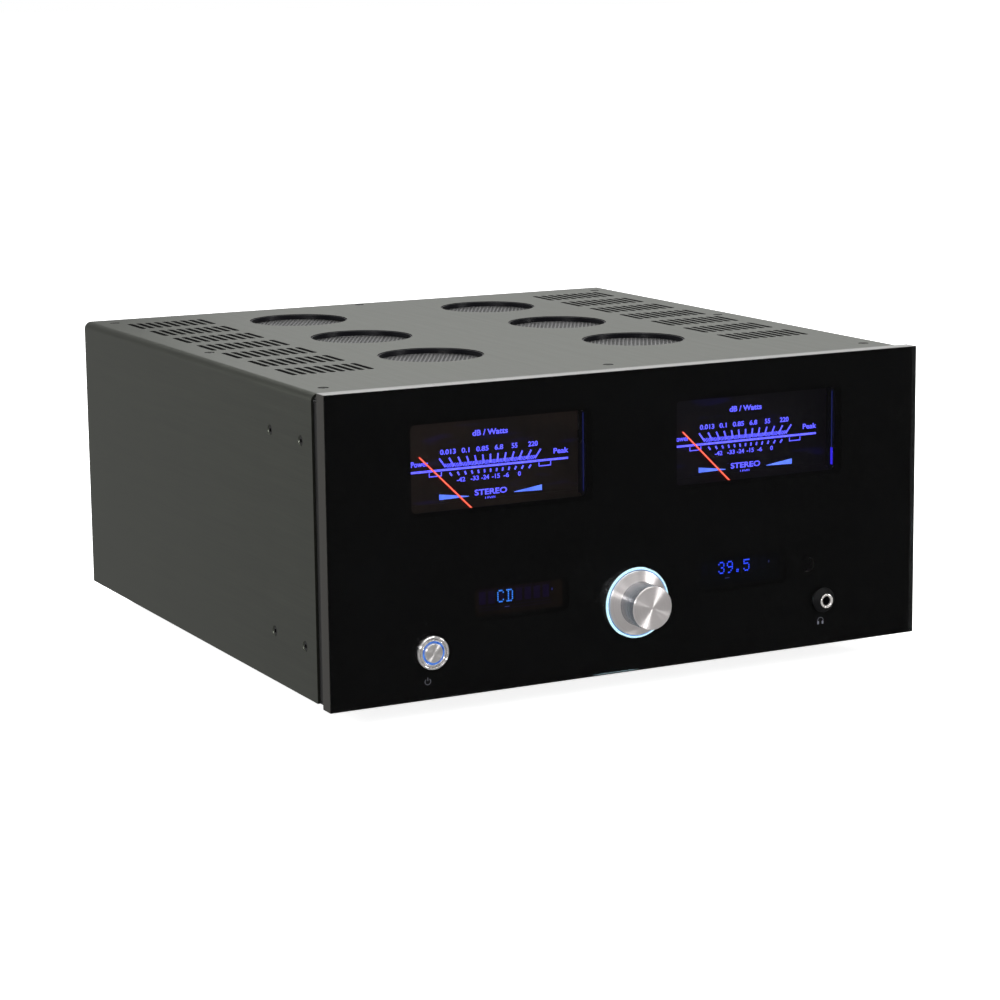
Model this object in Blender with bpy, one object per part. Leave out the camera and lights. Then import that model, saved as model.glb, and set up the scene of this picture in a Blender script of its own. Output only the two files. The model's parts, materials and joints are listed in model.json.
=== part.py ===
"""Integrated stereo amplifier: wraparound cover, glass fascia, two moving-needle meters, rear sockets.

Metres, +Z up. The fascia faces -Y and +X is to the right of someone facing it. The origin is on the
ground, in the middle of the bounding box. Positions on the chassis are written as (x, depth, height):
depth is measured back from the front of the glass, and height up from the fascia's lower edge.
"""

import math

import bmesh
import bpy
from mathutils import Matrix, Vector

MM = 0.001

# Overall size
WIDTH = 430 * MM
FASCIA_HEIGHT = 195.3 * MM
COVER_REAR = 430.8 * MM
KNOB_PROJECTION = 19.5 * MM
TERMINAL_REAR = 449.5 * MM
FOOT_DROP = 15 * MM
GAP = 0.3 * MM

FRONT_Y = -(TERMINAL_REAR + KNOB_PROJECTION) / 2 + KNOB_PROJECTION

# Fascia and glass
FASCIA_THICKNESS = 10.6 * MM
GLASS_THICKNESS = 4 * MM
GLASS_RIM = 0.4 * MM
GLASS_BED = 0.3 * MM
SUNK_BEZEL_DEPTH = 7.3 * MM

# Sheet metal
SHEET = 1.5 * MM
COVER_TOP = 194 * MM
COVER_BOTTOM = 2 * MM
COVER_SIDE_FRONT = 18.6 * MM
COVER_BEND = 5 * MM
TONGUE_HALF_WIDTH = 205 * MM
SUBFRAME_FRONT = FASCIA_THICKNESS + GAP
SUBFRAME_WING_REAR = 100 * MM
INNER_HALF_WIDTH = WIDTH / 2 - SHEET - GAP
INNER_TOP = COVER_TOP - SHEET - GAP
FLOOR_TOP = COVER_BOTTOM + SHEET
REAR_PANEL_FRONT = 425.5 * MM
REAR_PANEL_BACK = REAR_PANEL_FRONT + SHEET

# Front controls
KNOB_HEIGHT = 44.6 * MM
KNOB_RADIUS = 14.2 * MM
KNOB_FLANGE_RADIUS = 21 * MM
KNOB_RING_RADIUS = 22.8 * MM
SHAFT_RADIUS = 3 * MM
BUTTON_X = -145.8 * MM
BUTTON_HEIGHT = 29.8 * MM
BUTTON_TRAVEL = 1.2 * MM
JACK_X = 142.2 * MM
JACK_HEIGHT = 30.3 * MM
JACK_BORE_RADIUS = 3.2 * MM
RECEIVER_X = 131.5 * MM
RECEIVER_HEIGHT = 55 * MM
RECEIVER_RADIUS = 5.5 * MM

# Meters and displays
METER_X = 94.1 * MM
METER_HEIGHT = 143.7 * MM
METER_WINDOW = (121.8 * MM, 53.4 * MM)
METER_DIAL_DEPTH = 21.5 * MM
METER_PIVOT_HEIGHT = 99 * MM
METER_REST_ANGLE = math.radians(45.4)
NEEDLE_LENGTH = 70.5 * MM
NEEDLE_DEPTH = 17 * MM
DISPLAY_X = 81.6 * MM
DISPLAY_HEIGHT = 55.7 * MM
DISPLAY_WINDOW = (61.8 * MM, 17.4 * MM)

# Vents in the top
VENT_RADIUS = 35.1 * MM
VENT_X = 77 * MM
VENT_DEPTHS = (138.8 * MM, 249.2 * MM, 359.6 * MM)
VENT_DISH_DEPTH = 3.7 * MM
SLOT_SIZE = (3 * MM, 30 * MM)
SLOT_PITCH = (6.6 * MM, 45.5 * MM)
SLOT_COUNT = (9, 7)
SLOT_CENTRE = (165 * MM, 249 * MM)

# Inside
HEATSINK_INNER_X = 132 * MM
HEATSINK_OUTER_X = 202 * MM
HEATSINK_DEPTHS = (104 * MM, 398 * MM)
HEATSINK_HEIGHTS = (8 * MM, 168 * MM)
TRANSFORMER_DEPTH = 150 * MM
TRANSFORMER_RADIUS = 78 * MM
TRANSFORMER_HEIGHT = 74 * MM
CAPACITOR_RADIUS = 25 * MM
CAPACITOR_HEIGHT = 82 * MM
CAPACITOR_XS = (-90 * MM, -30 * MM, 30 * MM, 90 * MM)
CAPACITOR_DEPTH = 290 * MM

# Feet
FOOT_RADIUS = 25 * MM
FOOT_X = 132 * MM
FOOT_DEPTHS = (74 * MM, 372 * MM)

# Rear
INLET_X = -168 * MM
INLET_HEIGHT = 40 * MM
INLET_SHELL = (27.4 * MM, 20 * MM)
INLET_CAVITY = (24.4 * MM, 20 * MM, 16.8 * MM)
ROCKER_HEIGHT = 82 * MM
ROCKER_SHELL = (20 * MM, 28 * MM)
ROCKER_CAVITY = (16 * MM, 15 * MM, 24 * MM)
ROCKER_WIDTH = 15.2 * MM
ROCKER_TILT = math.radians(8)
TERMINAL_XS = (-66 * MM, -40 * MM, 40 * MM, 66 * MM)
TERMINAL_HEIGHT = 40 * MM
TERMINAL_BACKING = (169 * MM, 23 * MM)
TERMINAL_POST_RADIUS = 3 * MM
TERMINAL_CAP_RADIUS = 8.5 * MM
PHONO_X = 72 * MM
PHONO_HEIGHT = 100 * MM
PHONO_BLOCK = (155 * MM, 35 * MM)
PHONO_PITCH = (19 * MM, 18 * MM)
PHONO_COUNT = (8, 2)
BARREL_RADIUS = 4.15 * MM
BARREL_LENGTH = 9 * MM
XLR_XS = (130 * MM, 168 * MM)
XLR_HEIGHT = 152 * MM
XLR_SHELL_RADIUS = 11.6 * MM
XLR_RECESS_RADIUS = 10 * MM
DIGITAL_X = -62 * MM
DIGITAL_HEIGHT = 146 * MM
DIGITAL_BLOCK = (95 * MM, 17 * MM)
DIGITAL_BARREL_XS = (24 * MM, 39 * MM)


def at(x, depth, height):
    """World position of a chassis position."""
    return Vector((x, FRONT_Y + depth, FOOT_DROP + height))


def make_material(name, colour, roughness, metallic):
    material = bpy.data.materials.new(name)
    material.use_nodes = True
    shader = material.node_tree.nodes["Principled BSDF"]
    shader.inputs["Base Color"].default_value = (*colour, 1.0)
    shader.inputs["Roughness"].default_value = roughness
    shader.inputs["Metallic"].default_value = metallic
    material.diffuse_color = (*colour, 1.0)
    return material


def add_object(name, mesh, material=None):
    obj = bpy.data.objects.new(name, mesh)
    bpy.context.scene.collection.objects.link(obj)
    if material:
        mesh.materials.append(material)
    return obj


def mesh_from(name, bm, smooth=False):
    bmesh.ops.recalc_face_normals(bm, faces=bm.faces)
    mesh = bpy.data.meshes.new(name)
    bm.to_mesh(mesh)
    bm.free()
    if smooth:
        mesh.shade_smooth()
        mesh.set_sharp_from_angle(angle=math.radians(30))
    return mesh


def block(name, xs, depths, heights, material=None):
    """A box between two chassis positions."""
    low = at(xs[0], depths[0], heights[0])
    high = at(xs[1], depths[1], heights[1])
    bm = bmesh.new()
    bmesh.ops.create_cube(bm, size=1.0)
    bmesh.ops.scale(bm, vec=high - low, verts=bm.verts)
    bmesh.ops.translate(bm, vec=(low + high) / 2, verts=bm.verts)
    return add_object(name, mesh_from(name, bm), material)


def centred_block(name, centre, size, material=None):
    """A box given by its chassis centre and its size along x, depth and height."""
    spans = [(middle - length / 2, middle + length / 2) for middle, length in zip(centre, size)]
    return block(name, *spans, material)


AXIS_TURNS = {
    "up": Matrix.Identity(4),
    "back": Matrix.Rotation(-math.pi / 2, 4, "X"),
    "front": Matrix.Rotation(math.pi / 2, 4, "X"),
}


def turned(name, profile, centre, axis, segments, material=None):
    """A closed outline of (radius, distance along the axis) points turned about an axis.

    The outline runs from the axis back to the axis for a solid, or closes on itself for a ring.
    """
    bm = bmesh.new()
    solid = profile[0][0] == 0
    rows = []
    for radius, along in profile:
        if radius == 0:
            rows.append([bm.verts.new((0, 0, along))])
            continue
        angles = [2 * math.pi * step / segments for step in range(segments)]
        rows.append([bm.verts.new((radius * math.cos(a), radius * math.sin(a), along)) for a in angles])
    pairs = list(zip(rows, rows[1:]))
    if not solid:
        pairs.append((rows[-1], rows[0]))
    for lower, upper in pairs:
        for step in range(segments):
            after = (step + 1) % segments
            corners = [lower[step % len(lower)], lower[after % len(lower)]]
            corners += [upper[after % len(upper)], upper[step % len(upper)]]
            corners = list(dict.fromkeys(corners))
            bm.faces.new(corners)
    mesh = mesh_from(name, bm, smooth=True)
    obj = add_object(name, mesh, material)
    mesh.transform(Matrix.Translation(centre) @ AXIS_TURNS[axis])
    return obj


def rod(name, radius, near, far, centre, axis, segments, material=None):
    """A plain cylinder between two distances along its axis."""
    profile = [(0, near), (radius, near), (radius, far), (0, far)]
    return turned(name, profile, centre, axis, segments, material)


def extruded(name, outline, vector, material=None):
    """A closed outline of world points, in order, pushed along a vector."""
    bm = bmesh.new()
    face = bm.faces.new([bm.verts.new(point) for point in outline])
    result = bmesh.ops.extrude_face_region(bm, geom=[face])
    moved = [item for item in result["geom"] if isinstance(item, bmesh.types.BMVert)]
    bmesh.ops.translate(bm, vec=vector, verts=moved)
    return add_object(name, mesh_from(name, bm), material)


def combine(target, others, operation):
    """Apply Boolean steps to an object's mesh and remove the other solids."""
    for other in others:
        modifier = target.modifiers.new(operation.lower(), "BOOLEAN")
        modifier.operation = operation
        modifier.solver = "EXACT"
        modifier.object = other
    bpy.context.view_layer.update()
    evaluated = target.evaluated_get(bpy.context.evaluated_depsgraph_get())
    mesh = bpy.data.meshes.new_from_object(evaluated)
    target.modifiers.clear()
    target.data = mesh
    for other in others:
        bpy.data.objects.remove(other)
    return target


def carve(target, cutters):
    return combine(target, cutters, "DIFFERENCE")


def fuse(target, others):
    return combine(target, others, "UNION")


def put_origin(obj, point):
    """Move an object's origin to a world point without moving its mesh."""
    obj.data.transform(Matrix.Translation(-point))
    obj.location = point


def window_block(x, height, window, depths, margin=0.0, name="cutter", material=None):
    """A block as wide and high as a window, with a margin all round."""
    half_width = window[0] / 2 + margin
    half_height = window[1] / 2 + margin
    return block(name, (x - half_width, x + half_width), depths,
                 (height - half_height, height + half_height), material)


def control_cutters(depths, knob_radius, button_radius, jack_radius):
    """Round openings for the knob, the button and the jack."""
    places = ((0, KNOB_HEIGHT, knob_radius), (BUTTON_X, BUTTON_HEIGHT, button_radius),
              (JACK_X, JACK_HEIGHT, jack_radius))
    return [rod("cutter", radius, *depths, at(x, 0, height), "back", 24 if radius < 10 * MM else 40)
            for x, height, radius in places]


def panel_cutters(depths):
    """Everything that passes through the fascia plate and the sheet behind it."""
    cutters = control_cutters(depths, 8 * MM, 8.5 * MM, 6.5 * MM)
    receiver = at(RECEIVER_X, 0, RECEIVER_HEIGHT)
    cutters.append(rod("cutter", RECEIVER_RADIUS + GAP, *depths, receiver, "back", 20))
    for side in (-1, 1):
        cutters.append(window_block(side * METER_X, METER_HEIGHT, METER_WINDOW, depths, 3 * MM))
        cutters.append(window_block(side * DISPLAY_X, DISPLAY_HEIGHT, DISPLAY_WINDOW, depths, 2.5 * MM))
    return cutters


def make_fascia(metal, glass):
    """A thick plate with a shallow pocket over its whole front, and the pane bedded in the pocket."""
    half = WIDTH / 2
    fascia = block("fascia_plate", (-half, half), (0, FASCIA_THICKNESS), (0, FASCIA_HEIGHT), metal)
    pocket = block("cutter", (-half + GLASS_RIM, half - GLASS_RIM), (-MM, GLASS_THICKNESS + GLASS_BED),
                   (GLASS_RIM, FASCIA_HEIGHT - GLASS_RIM))
    carve(fascia, [pocket] + panel_cutters((-MM, FASCIA_THICKNESS + MM)))

    edge = GLASS_RIM + GAP
    pane = block("front_glass", (-half + edge, half - edge), (0, GLASS_THICKNESS),
                 (edge, FASCIA_HEIGHT - edge), glass)
    carve(pane, control_cutters((-MM, GLASS_THICKNESS + MM), KNOB_RING_RADIUS + GAP, 9 * MM, 7 * MM))


def corner_notches(depths):
    """Clearance for the cover's bends at both upper corners of a sheet inside the case."""
    half = WIDTH / 2
    notch = COVER_BEND + GAP
    return [block("cutter", sorted((side * half, side * (half - notch))), depths,
                  (COVER_TOP - notch, COVER_TOP + MM)) for side in (-1, 1)]


def make_subframe(paint):
    """Folded sheet behind the fascia, with wings that the cover's side screws reach."""
    half = INNER_HALF_WIDTH
    low = FLOOR_TOP + GAP
    frame = block("front_subframe", (-half, half), (SUBFRAME_FRONT, SUBFRAME_WING_REAR), (low, INNER_TOP),
                  paint)
    hollow = block("cutter", (-half + SHEET, half - SHEET), (SUBFRAME_FRONT + SHEET, SUBFRAME_WING_REAR + MM),
                   (low - MM, INNER_TOP + MM))
    notches = corner_notches((SUBFRAME_FRONT - MM, SUBFRAME_WING_REAR + MM))
    carve(frame, [hollow] + notches + panel_cutters((SUBFRAME_FRONT - MM, SUBFRAME_FRONT + 2 * SHEET)))


def make_base(paint):
    """The floor of the case, with a low lip along each side behind the subframe's wings."""
    half = INNER_HALF_WIDTH
    lip_top = 20 * MM
    lip_front = SUBFRAME_WING_REAR + GAP
    base = block("base_pan", (-half, half), (SUBFRAME_FRONT, REAR_PANEL_BACK), (COVER_BOTTOM, FLOOR_TOP),
                 paint)
    lips = [block("lip", sorted((side * half, side * (half - SHEET))), (lip_front, REAR_PANEL_FRONT - GAP),
                  (COVER_BOTTOM + 0.5 * MM, lip_top)) for side in (-1, 1)]
    fuse(base, lips)


def make_rear_panel(paint):
    """A flat sheet with an opening for each socket block."""
    half = INNER_HALF_WIDTH
    panel = block("rear_panel", (-half, half), (REAR_PANEL_FRONT, REAR_PANEL_BACK),
                  (FLOOR_TOP + GAP, INNER_TOP), paint)
    depths = (REAR_PANEL_FRONT - MM, REAR_PANEL_BACK + MM)
    openings = ((INLET_X, INLET_HEIGHT, INLET_SHELL), (INLET_X, ROCKER_HEIGHT, ROCKER_SHELL),
                (0, TERMINAL_HEIGHT, TERMINAL_BACKING), (PHONO_X, PHONO_HEIGHT, PHONO_BLOCK),
                (DIGITAL_X, DIGITAL_HEIGHT, DIGITAL_BLOCK))
    cutters = [window_block(x, height, size, depths, GAP) for x, height, size in openings]
    cutters += [rod("cutter", XLR_SHELL_RADIUS + GAP, *depths, at(x, 0, XLR_HEIGHT), "back", 24)
                for x in XLR_XS]
    carve(panel, cutters + corner_notches(depths))


def fold_line(half, top, bend):
    """Cross-section of one face of the folded cover, from the right edge over the top to the left."""
    steps = 6
    points = [(half, COVER_BOTTOM)]
    for side in (1, -1):
        angles = [math.pi / 2 * step / steps for step in range(steps + 1)]
        arc = [(side * (half - bend + bend * math.cos(a)), top - bend + bend * math.sin(a)) for a in angles]
        points += arc if side == 1 else reversed(arc)
    points.append((-half, COVER_BOTTOM))
    return points


def make_cover(anodised):
    """One sheet folded over both sides, with a tongue that reaches the fascia between the bends."""
    half = WIDTH / 2
    outer = fold_line(half, COVER_TOP, COVER_BEND)
    inner = fold_line(half - SHEET, COVER_TOP - SHEET, COVER_BEND - SHEET)
    world = [at(x, COVER_SIDE_FRONT, height) for x, height in outer + inner[::-1]]
    cover = extruded("top_cover", world, Vector((0, COVER_REAR - COVER_SIDE_FRONT, 0)), anodised)
    tongue = block("tongue", (-TONGUE_HALF_WIDTH, TONGUE_HALF_WIDTH),
                   (FASCIA_THICKNESS + GAP, COVER_SIDE_FRONT + MM), (COVER_TOP - SHEET, COVER_TOP))
    fuse(cover, [tongue])
    heights = (COVER_TOP - 2 * SHEET, COVER_TOP + SHEET)
    cutters = []
    for side in (-1, 1):
        for depth in VENT_DEPTHS:
            cutters.append(rod("cutter", VENT_RADIUS, *heights, at(side * VENT_X, depth, 0), "up", 32))
        cutters += slot_cutters(side, heights)
    carve(cover, cutters)
    cover.data.shade_smooth()
    cover.data.set_sharp_from_angle(angle=math.radians(30))


def slot_cutters(side, heights):
    columns, rows = SLOT_COUNT
    cutters = []
    for column in range(columns):
        x = side * SLOT_CENTRE[0] + (column - (columns - 1) / 2) * SLOT_PITCH[0]
        for row in range(rows):
            depth = SLOT_CENTRE[1] + (row - (rows - 1) / 2) * SLOT_PITCH[1]
            cutters.append(centred_block("cutter", (x, depth, COVER_TOP),
                                         (SLOT_SIZE[0], SLOT_SIZE[1], heights[1] - heights[0])))
    return cutters


def make_vent_grilles(steel):
    """Round dishes of perforated sheet, each held under the cover by its shoulder."""
    wall = 0.8 * MM
    rim = VENT_RADIUS - GAP
    drum = VENT_RADIUS + 2.5 * MM
    shoulder = -SHEET - GAP
    low = -VENT_DISH_DEPTH - wall
    profile = [(0, low), (drum, low), (drum, shoulder), (rim, shoulder), (rim, -GAP),
               (rim - wall, -GAP), (rim - wall, -VENT_DISH_DEPTH), (0, -VENT_DISH_DEPTH)]
    number = 0
    for side in (-1, 1):
        for depth in VENT_DEPTHS:
            number += 1
            turned(f"vent_grille_{number}", profile, at(side * VENT_X, depth, COVER_TOP), "up", 24, steel)


def make_knob(aluminium, steel):
    """A hat-shaped knob on its encoder's shaft; both turn about the line through the knob's middle."""
    centre = at(0, 0, KNOB_HEIGHT)
    flange_front = 1.9 * MM
    bore = SHAFT_RADIUS + GAP
    front = KNOB_PROJECTION
    fillet = 0.8 * MM
    chamfer = 0.5 * MM
    profile = [(0, front), (KNOB_RADIUS - chamfer, front), (KNOB_RADIUS, front - chamfer),
               (KNOB_RADIUS, flange_front + fillet), (KNOB_RADIUS + fillet, flange_front),
               (KNOB_FLANGE_RADIUS, flange_front), (KNOB_FLANGE_RADIUS, 0.3 * MM),
               (bore, 0.3 * MM), (bore, 13.3 * MM), (0, 13.3 * MM)]
    knob = turned("volume_knob", profile, centre, "front", 36, aluminium)
    put_origin(knob, centre)
    shaft = rod("encoder_shaft", SHAFT_RADIUS, -24 * MM, 13 * MM, centre, "front", 20, steel)
    put_origin(shaft, centre)


def make_knob_fixings(light, plastic):
    """The glowing ring around the knob, and the encoder body whose bush holds the shaft."""
    centre = at(0, 0, KNOB_HEIGHT)
    inner = KNOB_FLANGE_RADIUS + GAP
    ring = [(KNOB_RING_RADIUS, -GLASS_THICKNESS), (KNOB_RING_RADIUS, 0.8 * MM),
            (inner, 0.8 * MM), (inner, -GLASS_THICKNESS)]
    turned("knob_light_ring", ring, centre, "front", 40, light)
    bore = SHAFT_RADIUS + GAP
    bush = 7 * MM
    half = 12 * MM
    face = SUBFRAME_FRONT + SHEET + GAP
    body = centred_block("encoder_body", (0, face + 6 * MM, KNOB_HEIGHT), (2 * half, 12 * MM, 2 * half),
                         plastic)
    fuse(body, [rod("bush", bush, -face - MM, -5.5 * MM, centre, "front", 24)])
    carve(body, [rod("cutter", bore, -24.3 * MM, 0, centre, "front", 20)])


def make_power_button(aluminium, light, plastic):
    """Bezel, glowing ring and a sprung cap that goes straight in."""
    centre = at(BUTTON_X, 0, BUTTON_HEIGHT)
    bezel = [(10.6 * MM, 0.3 * MM), (10.6 * MM, 1.9 * MM), (10 * MM, 2.5 * MM), (7.5 * MM, 2.5 * MM),
             (7.5 * MM, -8 * MM), (8.2 * MM, -8 * MM), (8.2 * MM, 0.3 * MM)]
    turned("power_button_bezel", bezel, centre, "front", 24, aluminium)
    ring = [(7.2 * MM, -8 * MM), (7.2 * MM, 2.1 * MM), (6.2 * MM, 2.1 * MM), (6.2 * MM, -8 * MM)]
    turned("power_light_ring", ring, centre, "front", 24, light)
    cap_back = 11.2 * MM
    cap = [(0, -cap_back), (5.8 * MM, -cap_back), (5.8 * MM, 2.6 * MM), (5.4 * MM, 3 * MM), (0, 3 * MM)]
    button = turned("power_button_cap", cap, centre, "front", 24, aluminium)
    put_origin(button, centre)
    switch_front = cap_back + BUTTON_TRAVEL + GAP
    centred_block("power_switch_body", (BUTTON_X, switch_front + 7 * MM, BUTTON_HEIGHT),
                  (15 * MM, 14 * MM, 15 * MM), plastic)


def make_headphone_socket(plastic, steel):
    """A conical collar around a deep metal sleeve, open at the front."""
    centre = at(JACK_X, 0, JACK_HEIGHT)
    collar = [(8.4 * MM, 0.3 * MM), (8.4 * MM, 1.2 * MM), (6.7 * MM, 5.2 * MM), (5.9 * MM, 5.2 * MM),
              (5.9 * MM, 0.3 * MM)]
    turned("headphone_collar", collar, centre, "front", 24, plastic)
    socket = [(0, -34 * MM), (5.6 * MM, -34 * MM), (5.6 * MM, 5.6 * MM), (JACK_BORE_RADIUS, 5.6 * MM),
              (JACK_BORE_RADIUS, -32 * MM), (0, -32 * MM)]
    turned("headphone_socket", socket, centre, "front", 24, steel)


def make_meter(side, label, plastic, dial_paint, needle_paint, steel):
    """A dark box with a sunk window, a printed dial, a sprung needle and its movement below."""
    x = side * METER_X
    width, height = METER_WINDOW
    wall = 2 * MM
    low = METER_HEIGHT - height / 2 - 32 * MM
    high = METER_HEIGHT + height / 2 + 5 * MM
    front = SUBFRAME_FRONT + SHEET + GAP
    back = METER_DIAL_DEPTH + 12 * MM
    half = width / 2 + 6 * MM
    housing = block(f"meter_housing_{label}", (x - half, x + half), (front, back), (low, high), plastic)
    sleeve = window_block(x, METER_HEIGHT, METER_WINDOW, (SUNK_BEZEL_DEPTH, front + MM), wall)
    fuse(housing, [sleeve])
    hollow = block("cutter", (x - half + wall, x + half - wall), (front + wall, back + MM),
                   (low + wall, high - wall))
    opening = window_block(x, METER_HEIGHT, METER_WINDOW, (0, front + 2 * wall))
    carve(housing, [hollow, opening])

    inset = wall + GAP
    block(f"meter_dial_{label}", (x - half + inset, x + half - inset),
          (METER_DIAL_DEPTH, METER_DIAL_DEPTH + 1.5 * MM),
          (METER_PIVOT_HEIGHT + 10 * MM, high - inset), dial_paint)
    pivot = at(x, NEEDLE_DEPTH, METER_PIVOT_HEIGHT)
    needle = make_needle(f"meter_needle_{label}", pivot, needle_paint)
    put_origin(needle, pivot)
    movement = centred_block(f"meter_movement_{label}",
                             (x, METER_DIAL_DEPTH + 1 * MM, METER_PIVOT_HEIGHT - 1 * MM),
                             (34 * MM, 5 * MM, 19 * MM), steel)
    bearing = rod("bearing", 3 * MM, NEEDLE_DEPTH + 1.2 * MM, METER_DIAL_DEPTH, at(x, 0, METER_PIVOT_HEIGHT),
                  "back", 16)
    fuse(movement, [bearing])


def make_needle(name, pivot, paint):
    """A flat pointer with a round hub and a short counterweight, leaning left at rest."""
    half_thickness = 0.4 * MM
    hub = 3.2 * MM
    tail = 9.5 * MM
    arm_base = 0.9 * MM
    arm_tip = 0.35 * MM
    steps = 8
    neck = math.asin(arm_base / hub)
    left_arc = []
    for step in range(steps + 1):
        angle = math.pi / 2 + neck + (math.pi - 3 * neck) * step / steps
        left_arc.append((hub * math.cos(angle), hub * math.sin(angle)))
    tail_side = left_arc[-1][0]
    left = [(-arm_tip, NEEDLE_LENGTH)] + left_arc + [(tail_side, -tail)]
    outline = left + [(-across, along) for across, along in reversed(left)]
    lean = METER_REST_ANGLE
    world = []
    for across, along in outline:
        x = across * math.cos(lean) - along * math.sin(lean)
        z = across * math.sin(lean) + along * math.cos(lean)
        world.append(pivot + Vector((x, -half_thickness, z)))
    return extruded(name, world, Vector((0, 2 * half_thickness, 0)), paint)


def make_display(side, label, dark):
    """A character module whose face stands in its window."""
    x = side * DISPLAY_X
    face = SUNK_BEZEL_DEPTH
    front = SUBFRAME_FRONT + SHEET + GAP
    width, height = DISPLAY_WINDOW
    module = centred_block(f"display_{label}", (x, front + 4.5 * MM, DISPLAY_HEIGHT),
                           (width + 14 * MM, 9 * MM, height + 12 * MM), dark)
    fuse(module, [window_block(x, DISPLAY_HEIGHT, DISPLAY_WINDOW, (face, front + MM), 2 * MM)])


def make_receiver(dark):
    centre = at(RECEIVER_X, 0, RECEIVER_HEIGHT)
    profile = [(0, -22 * MM), (RECEIVER_RADIUS, -22 * MM), (RECEIVER_RADIUS, -8 * MM),
               (4 * MM, -6.4 * MM), (0, -5.8 * MM)]
    turned("ir_receiver", profile, centre, "front", 20, dark)


def make_heatsink(side, label, aluminium):
    """A comb extrusion standing on end, its fins pointing at the case side."""
    near, far = HEATSINK_DEPTHS
    low, high = HEATSINK_HEIGHTS
    plate = 8 * MM
    fin_count = 27
    fin = 2.4 * MM
    pitch = (far - near - fin) / (fin_count - 1)
    inner, outer = HEATSINK_INNER_X, HEATSINK_OUTER_X
    outline = [(inner, far), (inner, near)]
    for index in range(fin_count):
        start = near + index * pitch
        if index:
            outline.append((inner + plate, start))
        outline += [(outer, start), (outer, start + fin)]
        if index < fin_count - 1:
            outline.append((inner + plate, start + fin))
    world = [at(side * x, depth, low) for x, depth in outline]
    return extruded(f"heatsink_{label}", world, Vector((0, 0, high - low)), aluminium)


def make_transformer(winding, steel):
    """A wound ring held down by a dished washer on a central bolt."""
    floor = FLOOR_TOP + GAP
    centre = at(0, TRANSFORMER_DEPTH, floor)
    outer, height, bore = TRANSFORMER_RADIUS, TRANSFORMER_HEIGHT, 20 * MM
    round_off = 12 * MM
    profile = []
    corners = ((outer - round_off, round_off, -90), (outer - round_off, height - round_off, 0),
               (bore + round_off, height - round_off, 90), (bore + round_off, round_off, 180))
    for radius, along, start in corners:
        for step in range(3):
            angle = math.radians(start + 45 * step)
            profile.append((radius + round_off * math.cos(angle), along + round_off * math.sin(angle)))
    turned("toroidal_transformer", profile, centre, "up", 28, winding)
    bolt = 5 * MM
    top = height + GAP
    clamp = [(0, GAP), (bolt, GAP), (bolt, top), (34 * MM, top), (34 * MM, top + 3 * MM), (0, top + 3 * MM)]
    turned("transformer_clamp", clamp, centre, "up", 20, steel)


def make_supply(board_paint, sleeve_paint):
    """A board on four standoffs that carries the row of filter capacitors."""
    board_top = 14 * MM
    thickness = 1.6 * MM
    half_width = 118 * MM
    half_depth = 40 * MM
    inset = 6 * MM
    board = block("power_supply_board", (-half_width, half_width),
                  (CAPACITOR_DEPTH - half_depth, CAPACITOR_DEPTH + half_depth),
                  (board_top - thickness, board_top), board_paint)
    standoffs = []
    for side in (-1, 1):
        for end in (-1, 1):
            foot = at(side * (half_width - inset), CAPACITOR_DEPTH + end * (half_depth - inset), 0)
            standoffs.append(rod("standoff", 4 * MM, FLOOR_TOP + GAP, board_top - thickness / 2, foot, "up", 12))
    fuse(board, standoffs)
    radius, height = CAPACITOR_RADIUS, CAPACITOR_HEIGHT
    rim = 3 * MM
    profile = [(0, 0), (radius, 0), (radius, height), (radius - rim, height),
               (radius - rim, height - 1.5 * MM), (0, height - 1.5 * MM)]
    for number, x in enumerate(CAPACITOR_XS, start=1):
        turned(f"filter_capacitor_{number}", profile, at(x, CAPACITOR_DEPTH, board_top + GAP), "up", 20,
               sleeve_paint)


def make_boards(board_paint):
    """The input board behind the rear sockets and the control board behind the fascia."""
    block("input_board", (-110 * MM, 190 * MM), (402 * MM, 403.6 * MM), (66 * MM, 176 * MM), board_paint)
    block("control_board", (-112 * MM, 128 * MM), (44 * MM, 45.6 * MM), (10 * MM, 78 * MM), board_paint)


def make_feet(rubber):
    low = -FOOT_DROP
    top = COVER_BOTTOM - GAP
    radius = FOOT_RADIUS
    profile = [(0, low), (radius - MM, low), (radius, low + 3.5 * MM), (radius, top), (0, top)]
    names = ("front", "rear")
    for side, hand in ((-1, "left"), (1, "right")):
        for depth, end in zip(FOOT_DEPTHS, names):
            turned(f"foot_{end}_{hand}", profile, at(side * FOOT_X, depth, 0), "up", 24, rubber)


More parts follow.
